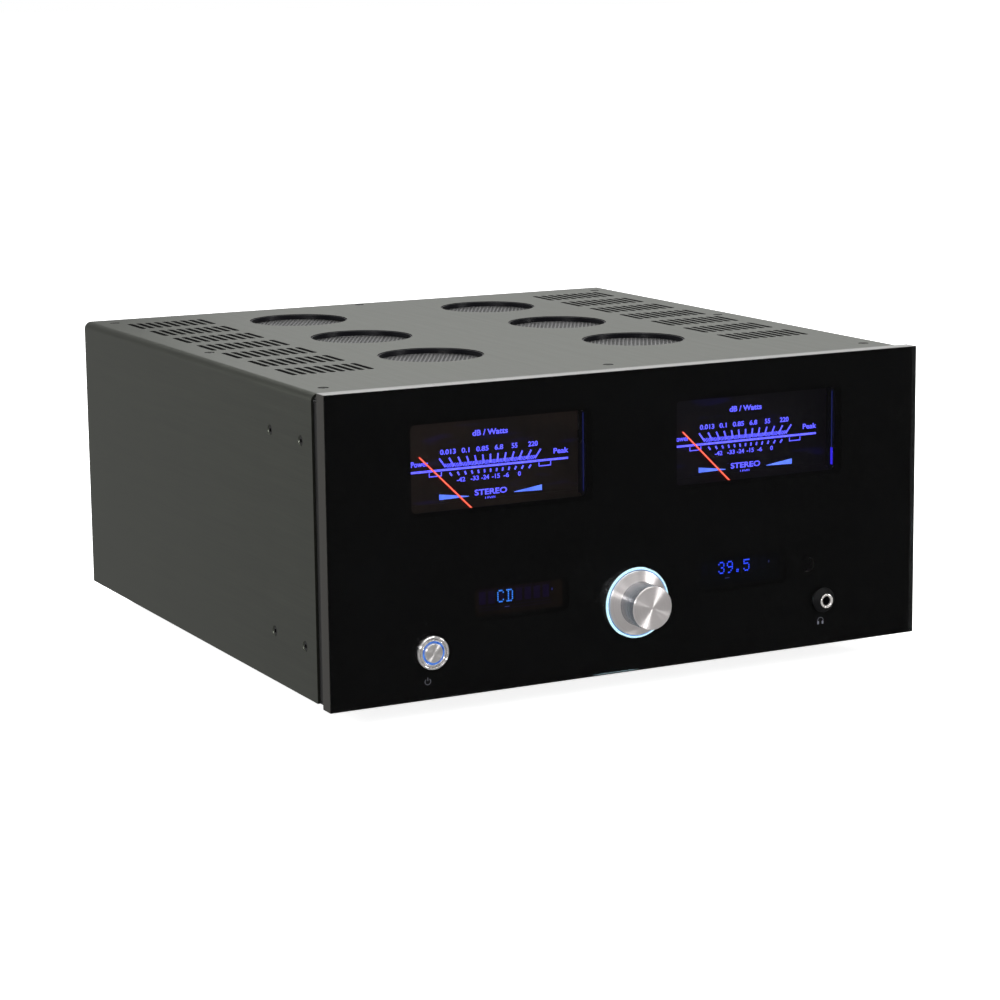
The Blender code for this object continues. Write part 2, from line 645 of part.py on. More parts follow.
def make_mains(plastic):
    """An inlet, open to the back, and a rocker switch above it."""
    outside = REAR_PANEL_BACK + GAP
    inside = REAR_PANEL_FRONT
    inlet = window_block(INLET_X, INLET_HEIGHT, INLET_SHELL, (inside - 21 * MM, inside + 3 * MM),
                         name="mains_inlet", material=plastic)
    fuse(inlet, [window_block(INLET_X, INLET_HEIGHT, INLET_SHELL, (outside, outside + 2.5 * MM), 3 * MM)])
    carve(inlet, [centred_block("cutter", (INLET_X, outside - 6.5 * MM, INLET_HEIGHT), INLET_CAVITY)])

    centre = at(INLET_X, outside, ROCKER_HEIGHT)
    frame = window_block(INLET_X, ROCKER_HEIGHT, ROCKER_SHELL, (inside - 15 * MM, inside + 3 * MM),
                         name="mains_switch_frame", material=plastic)
    fuse(frame, [window_block(INLET_X, ROCKER_HEIGHT, ROCKER_SHELL, (outside, outside + 2 * MM), 2.5 * MM)])
    carve(frame, [centred_block("cutter", (INLET_X, outside - 4 * MM, ROCKER_HEIGHT), ROCKER_CAVITY)])

    # The rocker's face is a shallow V, so that one half is flush while the other stands out.
    half_length = 10.6 * MM
    tilt = ROCKER_TILT
    rise = half_length * math.tan(2 * tilt)
    outline = [(-half_length, 1.6 * MM + rise), (0, 1.6 * MM), (half_length, 1.6 * MM + rise),
               (half_length, -0.5 * MM), (4 * MM, -7 * MM), (-4 * MM, -7 * MM), (-half_length, -0.5 * MM)]
    turn = Matrix.Rotation(tilt, 2)
    world = []
    for up, back in outline:
        point = turn @ Vector((up, back))
        world.append(centre + Vector((-ROCKER_WIDTH / 2, point.y, point.x)))
    rocker = extruded("mains_rocker", world, Vector((ROCKER_WIDTH, 0, 0)), plastic)
    put_origin(rocker, centre)


def make_speaker_terminals(plastic, brass):
    """One insulating plate carries the threaded posts; each post has a cap that screws along it."""
    face = REAR_PANEL_BACK + GAP
    plate = window_block(0, TERMINAL_HEIGHT, TERMINAL_BACKING, (face, face + 3 * MM), 3.5 * MM,
                         "speaker_terminal_plate", plastic)
    inside = window_block(0, TERMINAL_HEIGHT, TERMINAL_BACKING, (face - 8.5 * MM, face + 0.5 * MM))
    collar_back = face + 7 * MM
    post_end = TERMINAL_REAR - 4 * MM
    posts = []
    for x in TERMINAL_XS:
        centre = at(x, 0, TERMINAL_HEIGHT)
        posts.append(rod("collar", 7.5 * MM, face + 2 * MM, collar_back, centre, "back", 14))
        posts.append(rod("post", TERMINAL_POST_RADIUS, collar_back - MM, post_end, centre, "back", 12))
    fuse(plate, [inside] + posts)

    radius = TERMINAL_CAP_RADIUS
    start = collar_back + GAP
    end = TERMINAL_REAR
    grips = 12
    for number, x in enumerate(TERMINAL_XS, start=1):
        centre = at(x, 0, TERMINAL_HEIGHT)
        outline = []
        for step in range(2 * grips):
            angle = math.pi * (step + 0.5) / grips
            reach = radius if step % 2 else radius - 0.7 * MM
            outline.append(centre + Vector((reach * math.cos(angle), start, reach * math.sin(angle))))
        cap = extruded(f"speaker_cap_{number}", outline, Vector((0, end - start, 0)), brass)
        bore = rod("cutter", TERMINAL_POST_RADIUS + GAP, start - MM, end - 3 * MM, centre, "back", 12)
        carve(cap, [bore])
        put_origin(cap, at(x, start, TERMINAL_HEIGHT))


def make_sockets(plastic, steel):
    """Blocks of sockets that stand in the rear panel's openings."""
    face = REAR_PANEL_BACK + GAP
    inside = REAR_PANEL_FRONT
    tip = face + BARREL_LENGTH
    columns, rows = PHONO_COUNT
    phono = window_block(PHONO_X, PHONO_HEIGHT, PHONO_BLOCK, (inside - 18.5 * MM, REAR_PANEL_BACK),
                         name="phono_socket_block", material=plastic)
    barrels = []
    for column in range(columns):
        for row in range(rows):
            x = PHONO_X + (column - (columns - 1) / 2) * PHONO_PITCH[0]
            height = PHONO_HEIGHT + (row - (rows - 1) / 2) * PHONO_PITCH[1]
            barrels.append(rod("barrel", BARREL_RADIUS, inside, tip, at(x, 0, height), "back", 10))
    fuse(phono, barrels)

    margin = 15 * MM
    xlr = block("xlr_socket_block", (min(XLR_XS) - margin, max(XLR_XS) + margin), (face, face + 2 * MM),
                (XLR_HEIGHT - margin, XLR_HEIGHT + margin), steel)
    centres = [at(x, 0, XLR_HEIGHT) for x in XLR_XS]
    fuse(xlr, [rod("shell", XLR_SHELL_RADIUS, inside - 20 * MM, face + MM, centre, "back", 20)
               for centre in centres])
    carve(xlr, [rod("cutter", XLR_RECESS_RADIUS, inside - 12 * MM, face + 4 * MM, centre, "back", 20)
                for centre in centres])

    digital = window_block(DIGITAL_X, DIGITAL_HEIGHT, DIGITAL_BLOCK, (inside - 12 * MM, REAR_PANEL_BACK),
                           name="digital_socket_block", material=plastic)
    fuse(digital, [rod("barrel", BARREL_RADIUS, inside, tip, at(DIGITAL_X + x, 0, DIGITAL_HEIGHT), "back", 10)
                   for x in DIGITAL_BARREL_XS])


def build():
    for obj in list(bpy.data.objects):
        bpy.data.objects.remove(obj)

    anodised = make_material("dark_anodised_cover", (0.16, 0.165, 0.155), 0.38, 1.0)
    fascia_metal = make_material("fascia_aluminium", (0.30, 0.29, 0.28), 0.35, 1.0)
    bright = make_material("spun_aluminium", (0.82, 0.82, 0.82), 0.22, 1.0)
    glass = make_material("black_glass", (0.01, 0.01, 0.012), 0.04, 0.0)
    black_paint = make_material("black_painted_steel", (0.02, 0.02, 0.02), 0.5, 0.0)
    grille_steel = make_material("perforated_steel", (0.35, 0.36, 0.35), 0.4, 1.0)
    black_plastic = make_material("black_plastic", (0.015, 0.015, 0.016), 0.45, 0.0)
    light = make_material("light_guide", (0.55, 0.85, 1.0), 0.3, 0.0)
    steel = make_material("plated_steel", (0.7, 0.7, 0.68), 0.3, 1.0)
    dial = make_material("meter_dial", (0.05, 0.045, 0.04), 0.5, 0.0)
    needle = make_material("needle_orange", (0.9, 0.2, 0.08), 0.4, 0.0)
    sink = make_material("raw_aluminium", (0.6, 0.6, 0.6), 0.4, 1.0)
    winding = make_material("transformer_winding", (0.65, 0.5, 0.1), 0.4, 0.0)
    board = make_material("circuit_board", (0.02, 0.16, 0.06), 0.5, 0.0)
    sleeve = make_material("capacitor_sleeve", (0.05, 0.06, 0.12), 0.4, 0.0)
    rubber = make_material("foot_rubber", (0.02, 0.02, 0.02), 0.8, 0.0)
    brass = make_material("terminal_caps", (0.75, 0.6, 0.25), 0.3, 1.0)

    make_fascia(fascia_metal, glass)
    make_subframe(black_paint)
    make_base(black_paint)
    make_rear_panel(black_paint)
    make_cover(anodised)
    make_vent_grilles(grille_steel)
    make_knob(bright, steel)
    make_knob_fixings(light, black_plastic)
    make_power_button(bright, light, black_plastic)
    make_headphone_socket(black_plastic, steel)
    for side, label in ((-1, "left"), (1, "right")):
        make_meter(side, label, black_plastic, dial, needle, steel)
        make_display(side, label, black_plastic)
        make_heatsink(side, label, sink)
    make_receiver(black_plastic)
    make_transformer(winding, steel)
    make_supply(board, sleeve)
    make_boards(board)
    make_feet(rubber)
    make_mains(black_plastic)
    make_speaker_terminals(black_plastic, brass)
    make_sockets(black_plastic, steel)


build()
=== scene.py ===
"""Looks of the integrated amplifier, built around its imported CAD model.

Chassis positions are (x, depth, height) in millimetres: depth goes back from the front of the glass and
height goes up from the fascia's lower edge. They are worked out from the CAD nodes' boxes.
"""

import json
import math

import bmesh
import bpy
from mathutils import Matrix, Vector


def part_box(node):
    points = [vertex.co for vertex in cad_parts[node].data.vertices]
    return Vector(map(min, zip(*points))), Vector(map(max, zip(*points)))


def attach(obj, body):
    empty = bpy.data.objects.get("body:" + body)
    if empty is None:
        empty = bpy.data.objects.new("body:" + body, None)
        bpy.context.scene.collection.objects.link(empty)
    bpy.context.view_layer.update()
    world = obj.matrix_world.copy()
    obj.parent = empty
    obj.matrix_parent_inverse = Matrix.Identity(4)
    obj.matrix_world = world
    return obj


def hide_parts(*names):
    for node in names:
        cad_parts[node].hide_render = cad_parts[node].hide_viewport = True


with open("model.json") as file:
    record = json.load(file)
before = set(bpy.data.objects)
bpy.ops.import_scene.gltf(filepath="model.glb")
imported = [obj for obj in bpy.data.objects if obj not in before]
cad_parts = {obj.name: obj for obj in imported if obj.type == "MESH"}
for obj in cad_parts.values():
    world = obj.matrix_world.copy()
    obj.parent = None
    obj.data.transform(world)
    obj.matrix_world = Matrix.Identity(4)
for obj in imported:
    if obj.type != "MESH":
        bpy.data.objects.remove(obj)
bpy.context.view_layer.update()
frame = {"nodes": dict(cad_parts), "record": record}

MM = 0.001
SIDES = ((-1, "left"), (1, "right"))
FRONT_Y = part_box("front_glass")[0].y
BASE_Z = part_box("fascia_plate")[0].z


def at(x, depth, height):
    """World position of a chassis position in millimetres."""
    return Vector((x * MM, FRONT_Y + depth * MM, BASE_Z + height * MM))


def span(node):
    """Lowest and highest (x, depth, height) of a CAD node, in millimetres."""
    return [(p.x / MM, (p.y - FRONT_Y) / MM, (p.z - BASE_Z) / MM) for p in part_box(node)]


def middle(node):
    low, high = span(node)
    return tuple((a + b) / 2 for a, b in zip(low, high))


# ---------------------------------------------------------------------------------------------- materials

def new_node(tree, kind, inputs=None, **settings):
    """A shader node with its settings and inputs; an input is a value or another node's output."""
    node = tree.nodes.new(kind)
    for key, value in settings.items():
        setattr(node, key, value)
    for key, value in (inputs or {}).items():
        if isinstance(value, bpy.types.NodeSocket):
            tree.links.new(value, node.inputs[key])
        else:
            node.inputs[key].default_value = value
    return node


def new_ramp(tree, factor, stops):
    """A colour ramp from (position, grey or colour) stops."""
    node = new_node(tree, "ShaderNodeValToRGB", {"Fac": factor})
    elements = node.color_ramp.elements
    while len(elements) < len(stops):
        elements.new(0.5)
    for element, (position, colour) in zip(elements, stops):
        element.position = position
        if not isinstance(colour, tuple):
            colour = (colour, colour, colour)
        element.color = (*colour, 1.0)
    return node.outputs["Color"]


class Look:
    """A Principled material, with short ways to add the nodes that vary it."""

    def __init__(self, name, colour, roughness, metallic=0.0, **sockets):
        self.material = bpy.data.materials.new(name)
        self.material.use_nodes = True
        self.tree = self.material.node_tree
        self.shader = self.tree.nodes["Principled BSDF"]
        self.set("Base Color", (*colour, 1.0))
        self.set("Roughness", roughness)
        self.set("Metallic", metallic)
        for socket, value in sockets.items():
            self.set(socket.replace("_", " "), value)
        self.material.diffuse_color = (*colour, 1.0)

    def set(self, socket, value):
        self.shader.inputs[socket].default_value = value

    def node(self, kind, inputs=None, **settings):
        return new_node(self.tree, kind, inputs, **settings)

    def link(self, output, socket):
        self.tree.links.new(output, self.shader.inputs[socket])

    def place(self, stretch=(1, 1, 1)):
        """Object coordinates in millimetres, squeezed along each axis by stretch."""
        coordinates = self.node("ShaderNodeTexCoord").outputs["Object"]
        scale = [1 / (MM * s) for s in stretch]
        mapping = self.node("ShaderNodeMapping", {"Vector": coordinates, "Scale": scale})
        return mapping.outputs["Vector"]

    def noise(self, size, stretch=(1, 1, 1), detail=3.0, roughness=0.6):
        """Noise whose features are about size millimetres across, longer where stretch is larger."""
        texture = self.node("ShaderNodeTexNoise", {"Vector": self.place(stretch), "Scale": 1.0 / size,
                                                   "Detail": detail, "Roughness": roughness})
        return texture.outputs["Fac"]

    def ramp(self, factor, *stops):
        return new_ramp(self.tree, factor, stops)

    def bump(self, height, distance, strength=1.0):
        inputs = {"Height": height, "Distance": distance * MM, "Strength": strength}
        self.link(self.node("ShaderNodeBump", inputs).outputs["Normal"], "Normal")

    def math(self, operation, a, b=0.0):
        return self.node("ShaderNodeMath", {0: a, 1: b}, operation=operation).outputs[0]

    def blend(self, *parts):
        """The sum of (value, share) parts."""
        shares = [self.math("MULTIPLY", value, share) for value, share in parts]
        total = shares[0]
        for share in shares[1:]:
            total = self.math("ADD", total, share)
        return total

    def glow(self, colour, strength=1.0):
        self.link(colour, "Emission Color")
        self.set("Emission Strength", strength)


def shades(colour, low, high):
    """Two tints of a colour, for the ends of a ramp."""
    return tuple(c * low for c in colour), tuple(c * high for c in colour)


def brushed(name, colour, roughness, along, contrast=0.10):
    """Anodised or bare metal with fine straight brush marks along one axis."""
    look = Look(name, colour, roughness, 1.0)
    stretch = [1.0, 1.0, 1.0]
    stretch[along] = 90.0
    fine = look.noise(0.45, stretch, 3.0, 0.7)
    stretch[along] = 40.0
    broad = look.noise(5.0, stretch, 2.0)
    cloud = look.noise(70.0, detail=3.0)
    mix = look.blend((fine, 0.6), (broad, 0.25), (cloud, 0.15))
    dark, light = shades(colour, 1 - contrast, 1 + contrast)
    look.link(look.ramp(mix, (0.36, dark), (0.64, light)), "Base Color")
    look.link(look.ramp(mix, (0.3, roughness - 0.05), (0.7, roughness + 0.06)), "Roughness")
    look.bump(fine, 0.004, 0.35)
    return look.material


def grained(name, colour, roughness, metallic=0.0, size=0.6, depth=0.02, contrast=0.12, **sockets):
    """Moulded, powder-coated or cast surface with a fine even grain and faint broad variation."""
    look = Look(name, colour, roughness, metallic, **sockets)
    grain = look.noise(size, detail=2.0)
    cloud = look.noise(40.0, detail=3.0)
    mix = look.blend((grain, 0.5), (cloud, 0.5))
    dark, light = shades(colour, 1 - contrast, 1 + contrast)
    look.link(look.ramp(mix, (0.35, dark), (0.65, light)), "Base Color")
    low, high = max(roughness - 0.06, 0.02), min(roughness + 0.08, 1.0)
    look.link(look.ramp(cloud, (0.3, low), (0.7, high)), "Roughness")
    look.bump(grain, depth)
    return look.material


def spun(name, colour, roughness, centre):
    """Aluminium turned about a line along Y: rings of fine grooves that stretch highlights outward."""
    look = Look(name, colour, roughness, 0.88, Anisotropic=0.95, Anisotropic_Rotation=0.25)
    position = look.place()
    offset = [-centre[0], 0, -centre[2] - BASE_Z / MM]
    moved = look.node("ShaderNodeVectorMath", {0: position, 1: offset}, operation="ADD").outputs[0]
    parts = look.node("ShaderNodeSeparateXYZ", {0: moved})
    across = look.math("MULTIPLY", parts.outputs["X"], parts.outputs["X"])
    upward = look.math("MULTIPLY", parts.outputs["Z"], parts.outputs["Z"])
    radius = look.math("SQRT", look.math("ADD", across, upward))
    line = look.node("ShaderNodeCombineXYZ", {"X": radius, "Y": parts.outputs["Y"]}).outputs[0]
    grooves = look.node("ShaderNodeTexNoise", {"Vector": line, "Scale": 5.0, "Detail": 3.0}).outputs["Fac"]
    dark, light = shades(colour, 0.93, 1.05)
    look.link(look.ramp(grooves, (0.35, dark), (0.65, light)), "Base Color")
    look.link(look.ramp(grooves, (0.3, roughness - 0.03), (0.7, roughness + 0.03)), "Roughness")
    look.link(look.node("ShaderNodeTangent", direction_type="RADIAL", axis="Y").outputs[0], "Tangent")
    look.bump(grooves, 0.001, 0.3)
    return look.material


def glowing(name, colour, strength, core=None, size=1.2):
    """A lit surface whose brightness wavers slightly, with a paler colour in its brightest spots."""
    look = Look(name, (0.01, 0.01, 0.012), 0.4)
    drift = look.noise(size, detail=2.0)
    dim, full = shades(colour, 0.82, 1.0)
    look.glow(look.ramp(drift, (0.3, dim), (0.7, core or full)), strength)
    return look.material


def clear_glass(name, colour):
    """Clear glass with a weak reflection and a few faint wiping marks."""
    look = Look(name, colour, 0.0, Transmission_Weight=1.0, IOR=1.5, Specular_IOR_Level=0.06)
    smear = look.noise(60.0, detail=4.0)
    look.link(look.ramp(smear, (0.55, 0.0), (0.85, 0.012)), "Roughness")
    return look.material


COVER = brushed("cover_dark_anodised", (0.110, 0.117, 0.097), 0.34, along=1, contrast=0.16)
# Painted shade: a nearly black look for the walls of the cover's slots, vents and screw holes, for the shade
# inside them.
HOLE_WALL_SHADE = grained("hole_wall_painted_shade", (0.010, 0.010, 0.010), 0.5, size=0.5, depth=0.01,
                   Specular_IOR_Level=0.2)
FASCIA = brushed("fascia_satin_aluminium", (0.128, 0.123, 0.112), 0.33, along=0, contrast=0.06)
# Painted highlight: a much lighter copy of the fascia aluminium for the plate's top face, for the light it
# reflects from behind.
FASCIA_TOP_HIGHLIGHT = brushed("fascia_top_painted_highlight", (0.46, 0.46, 0.45), 0.30, along=0, contrast=0.06)
GLASS = clear_glass("fascia_glass", (0.96, 0.97, 0.97))
MASK = grained("glass_black_backing", (0.0025, 0.0025, 0.0028), 0.8, size=3.0, depth=0.0,
               Specular_IOR_Level=0.1)
PAINT = grained("black_powder_coat", (0.014, 0.014, 0.014), 0.48, size=0.5, depth=0.03)
PLASTIC = grained("black_plastic", (0.012, 0.012, 0.013), 0.42, size=0.8, depth=0.015)
COLLAR = grained("matt_black_collar", (0.0035, 0.0035, 0.004), 0.55, size=0.8, depth=0.01,
                 Specular_IOR_Level=0.12)
GLOSS = grained("gloss_black_plastic", (0.004, 0.004, 0.006), 0.30, size=9.0, depth=0.0,
                Specular_IOR_Level=0.3)
DARK_BAR = grained("meter_housing_black", (0.010, 0.010, 0.014), 0.30, size=1.0, depth=0.01)
MESH_STEEL = grained("perforated_steel", (0.17, 0.17, 0.17), 0.42, 1.0, size=0.7, depth=0.01)
STEEL = grained("plated_steel", (0.72, 0.71, 0.69), 0.24, 1.0, size=1.5, depth=0.004)
CHROME = grained("polished_nickel", (0.86, 0.83, 0.80), 0.20, 0.75, size=1.5, depth=0.003, contrast=0.05)
DARK_SCREW = grained("blackened_screw_steel", (0.045, 0.045, 0.045), 0.30, 1.0, size=0.6, depth=0.01)
GOLD = grained("gold_plate", (0.95, 0.70, 0.32), 0.22, 1.0, size=1.0, depth=0.004, contrast=0.06)
RUBBER = grained("foot_rubber", (0.018, 0.018, 0.018), 0.75, size=1.2, depth=0.05)
RAW = grained("extruded_aluminium", (0.55, 0.55, 0.55), 0.36, 1.0, size=1.5, depth=0.02)
BOARD = grained("circuit_board_green", (0.02, 0.13, 0.05), 0.40, size=2.5, depth=0.03, contrast=0.3)
SLEEVE = grained("capacitor_sleeve", (0.03, 0.035, 0.08), 0.30, size=8.0, depth=0.01)
TAPE = grained("winding_tape", (0.50, 0.32, 0.05), 0.28, size=3.0, depth=0.10, contrast=0.3)
RED = grained("red_insulator", (0.45, 0.015, 0.012), 0.38, size=1.0, depth=0.01)
WHITE = grained("white_insulator", (0.75, 0.74, 0.70), 0.40, size=1.0, depth=0.01, contrast=0.05)
ORANGE = grained("orange_insulator", (0.75, 0.20, 0.02), 0.40, size=1.0, depth=0.01, contrast=0.05)
PRINT = glowing("grey_print", (0.085, 0.085, 0.10), 1.0)
PALE_PRINT = glowing("pale_grey_print", (0.24, 0.24, 0.30), 1.0)
REAR_PRINT = grained("white_print", (0.62, 0.62, 0.62), 0.6, size=0.5, depth=0.0, contrast=0.05)
SCALE_GLOW = glowing("scale_violet_glow", (0.080, 0.070, 1.0), 2.3, core=(0.110, 0.115, 1.0))
# Painted light: the brighter patch of the dial's light on the right window's wall.
WALL_PAINTED_LIGHT = glowing("window_wall_painted_light", (0.035, 0.020, 0.80), 1.2, size=8.0)
WEDGE_GLOW = glowing("wedge_blue_glow", (0.075, 0.150, 0.85), 1.7, core=(0.11, 0.21, 1.0), size=8.0)
DISPLAY_GLOW = {
    "left": glowing("display_sky_glow", (0.02, 0.16, 1.0), 1.4, core=(0.05, 0.30, 1.0)),
    "right": glowing("display_blue_glow", (0.015, 0.055, 1.0), 1.8, core=(0.025, 0.075, 1.0)),
}
NEEDLE_CORE = glowing("needle_core_glow", (1.0, 0.23, 0.13), 1.5, core=(1.0, 0.28, 0.17))
NEEDLE_EDGE = glowing("needle_edge_glow", (0.95, 0.030, 0.015), 1.3)
RING_GLOW = glowing("knob_ring_glow", (0.42, 0.80, 1.0), 1.25, core=(0.72, 0.97, 1.0), size=0.8)
RING_INNER_GLOW = glowing("knob_ring_inner_glow", (0.10, 0.33, 0.85), 0.9, size=3.0)
BUTTON_GLOW = glowing("button_ring_glow", (0.02, 0.10, 0.48), 1.0, core=(0.07, 0.26, 0.85), size=3.0)
# Painted light on the windows' right walls; also the dim glow of two display marks.
WALL_LIGHT_AND_MARK_GLOW = glowing("window_edge_painted_light_and_mark_glow", (0.010, 0.018, 0.16), 0.9, size=6.0)


SLOT_LOOKS = {
    "dark_anodised_cover": COVER, "fascia_aluminium": FASCIA, "black_glass": GLASS,
    "spun_aluminium": STEEL, "black_painted_steel": PAINT, "perforated_steel": MESH_STEEL,
    "black_plastic": PLASTIC, "display_face": PLASTIC, "light_guide": RING_GLOW,
    "power_light": BUTTON_GLOW, "plated_steel": STEEL, "meter_dial": PLASTIC,
    "needle_orange": NEEDLE_EDGE, "raw_aluminium": RAW, "transformer_winding": TAPE,
    "circuit_board": BOARD, "capacitor_sleeve": SLEEVE, "foot_rubber": RUBBER, "terminal_caps": GOLD,
}


# ------------------------------------------------------------------------------------------ shape helpers

def filleted(corners, closed=True, steps=5):
    """Points (u, v) of an outline whose corners (u, v, radius) are rounded."""
    points = []
    count = len(corners)
    for index, (u, v, radius) in enumerate(corners):
        here = Vector((u, v))
        ends = not closed and index in (0, count - 1)
        if radius <= 0 or ends:
            points.append(here)
            continue
        before = (Vector(corners[index - 1][:2]) - here).normalized()
        after = (Vector(corners[(index + 1) % count][:2]) - here).normalized()
        half_angle = before.angle(after) / 2
        reach = radius / math.tan(half_angle)
        middle_line = (before + after).normalized()
        centre = here + middle_line * (radius / math.sin(half_angle))
        start = here + before * reach - centre
        finish = here + after * reach - centre
        turn = start.angle_signed(finish)
        for step in range(steps + 1):
            points.append(centre + Matrix.Rotation(-turn * step / steps, 2) @ start)
    return points


SIGNS = ((-1, -1), (1, -1), (1, 1), (-1, 1))


def rounded_rectangle(width, height, radius, u=0.0, v=0.0, steps=5):
    w, h = width / 2, height / 2
    return filleted([(u + w * a, v + h * b, radius) for a, b in SIGNS], steps=steps)


def rectangle(left, bottom, right, top):
    return [(left, bottom), (right, bottom), (right, top), (left, top)]


def outline_of(node, radius, steps, inset=0.0):
    """A node's outline from the front, with rounded corners."""
    low, high = span(node)
    x, _, height = middle(node)
    return rounded_rectangle(high[0] - low[0] - 2 * inset, high[2] - low[2] - 2 * inset, radius, x, height,
                             steps)


def ring_points(radius, u=0.0, v=0.0, count=48):
    angles = [2 * math.pi * (step + 0.5) / count for step in range(count)]
    return [Vector((u + radius * math.cos(a), v + radius * math.sin(a))) for a in angles]


PLACES = {
    "front": lambda u, v, w: at(u, w, v),
    "top": lambda u, v, w: at(u, v, w),
    "side": lambda u, v, w: at(w, u, v),
}


def walled(bm, loops):
    """Close the band between two loops of vertices."""
    faces = []
    for index in range(len(loops[0])):
        after = (index + 1) % len(loops[0])
        faces.append(bm.faces.new([loops[0][index], loops[0][after], loops[1][after], loops[1][index]]))
    return faces


def add_prism(bm, outline, near, far, facing="front", material=0):
    """A closed outline (u, v) pushed from near to far: depth for front, height for top, x for side."""
    place = PLACES[facing]
    loops = [[bm.verts.new(place(p[0], p[1], w)) for p in outline] for w in (near, far)]
    for face in [bm.faces.new(loops[0]), bm.faces.new(loops[1])] + walled(bm, loops):
        face.material_index = material


AXES = {
    "front": ((1, 0, 0), (0, 0, 1), (0, -1, 0)), "back": ((-1, 0, 0), (0, 0, 1), (0, 1, 0)),
    "up": ((1, 0, 0), (0, 1, 0), (0, 0, 1)), "down": ((1, 0, 0), (0, -1, 0), (0, 0, -1)),
    "left": ((0, -1, 0), (0, 0, 1), (-1, 0, 0)), "right": ((0, 1, 0), (0, 0, 1), (1, 0, 0)),
}


def add_turned(bm, profile, centre, facing="front", segments=64, material=0):
    """A profile of (radius, along) points turned about an axis that points out of the given side.

    A point may end with a function of (angle, radius) that bends its ring into flutes or flats.
    """
    u_axis, v_axis, w_axis = (Vector(axis) for axis in AXES[facing])
    rows = []
    for radius, along, *form in profile:
        if radius <= 0:
            rows.append([bm.verts.new(centre + w_axis * along * MM)])
            continue
        row = []
        for step in range(segments):
            angle = 2 * math.pi * step / segments
            reach = form[0](angle, radius) if form else radius
            offset = u_axis * math.cos(angle) * reach + v_axis * math.sin(angle) * reach + w_axis * along
            row.append(bm.verts.new(centre + offset * MM))
        rows.append(row)
    pairs = list(zip(rows, rows[1:]))
    if profile[0][0] > 0:
        pairs.append((rows[-1], rows[0]))
    for lower, upper in pairs:
        for step in range(segments):
            after = (step + 1) % segments
            corners = [lower[step % len(lower)], lower[after % len(lower)]]
            corners += [upper[after % len(upper)], upper[step % len(upper)]]
            face = bm.faces.new(list(dict.fromkeys(corners)))
            face.material_index = material


def prisms(*shapes):
    """A bmesh of separate prisms, each described as add_prism takes it."""
    bm = bmesh.new()
    for shape in shapes:
        add_prism(bm, *shape)
    return bm


def turnings(*shapes):
    """A bmesh of separate turned shapes, each described as add_turned takes it."""
    bm = bmesh.new()
    for shape in shapes:
        add_turned(bm, *shape)
    return bm


def thickened(bm, shift):
    """Turn a flat sheet of faces into a plate, by pushing it along shift."""
    grown = bmesh.ops.extrude_face_region(bm, geom=bm.faces[:])
    moved = [item for item in grown["geom"] if isinstance(item, bmesh.types.BMVert)]
    bmesh.ops.translate(bm, vec=shift, verts=moved)


def finished_mesh(name, bm, sharp=32):
    bmesh.ops.recalc_face_normals(bm, faces=bm.faces)
    mesh = bpy.data.meshes.new(name)
    bm.to_mesh(mesh)
    bm.free()
    mesh.shade_smooth()
    mesh.set_sharp_from_angle(angle=math.radians(sharp))
    return mesh


def add_object(name, data, materials=()):
    obj = bpy.data.objects.new(name, data)
    bpy.context.scene.collection.objects.link(obj)
    for material in materials:
        data.materials.append(material)
    return obj


def solid(name, bm, materials=(), sharp=32):
    return add_object(name, finished_mesh(name, bm, sharp), materials)


def settled(obj, sharp=32):
    """Apply an object's modifiers to its mesh."""
    bpy.context.view_layer.update()
    evaluated = obj.evaluated_get(bpy.context.evaluated_depsgraph_get())
    mesh = bpy.data.meshes.new_from_object(evaluated)
    obj.modifiers.clear()
    obj.data = mesh
    if sharp:
        mesh.shade_smooth()
        mesh.set_sharp_from_angle(angle=math.radians(sharp))


def combine(obj, bm, operation="DIFFERENCE"):
    """Cut away, or join on, one bmesh of separate closed shapes."""
    tool = solid("tool", bm)
    modifier = obj.modifiers.new("combine", "BOOLEAN")
    modifier.operation = operation
    modifier.solver = "EXACT"
    modifier.object = tool
    settled(obj)
    bpy.data.objects.remove(tool)


def softened(obj, width, segments=2, angle=40):
    """Round every sharp edge a little, and keep flat faces flat."""
    modifier = obj.modifiers.new("edges", "BEVEL")
    modifier.width = width * MM
    modifier.segments = segments
    modifier.limit_method = "ANGLE"
    modifier.angle_limit = math.radians(angle)
    settled(obj, sharp=60)


def shown(obj, body="chassis", replaces=()):
    """Let large flat faces keep their own shading, and fix the piece to its body."""
    if obj.data.users == 1:
        modifier = obj.modifiers.new("normals", "WEIGHTED_NORMAL")
        modifier.keep_sharp = True
        modifier.weight = 100
        settled(obj, sharp=None)
    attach(obj, body)
    if replaces:
        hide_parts(*replaces)


def piece(name, bm, materials, body="chassis", replaces=(), sharp=32):
    shown(solid(name, bm, materials, sharp), body, replaces)


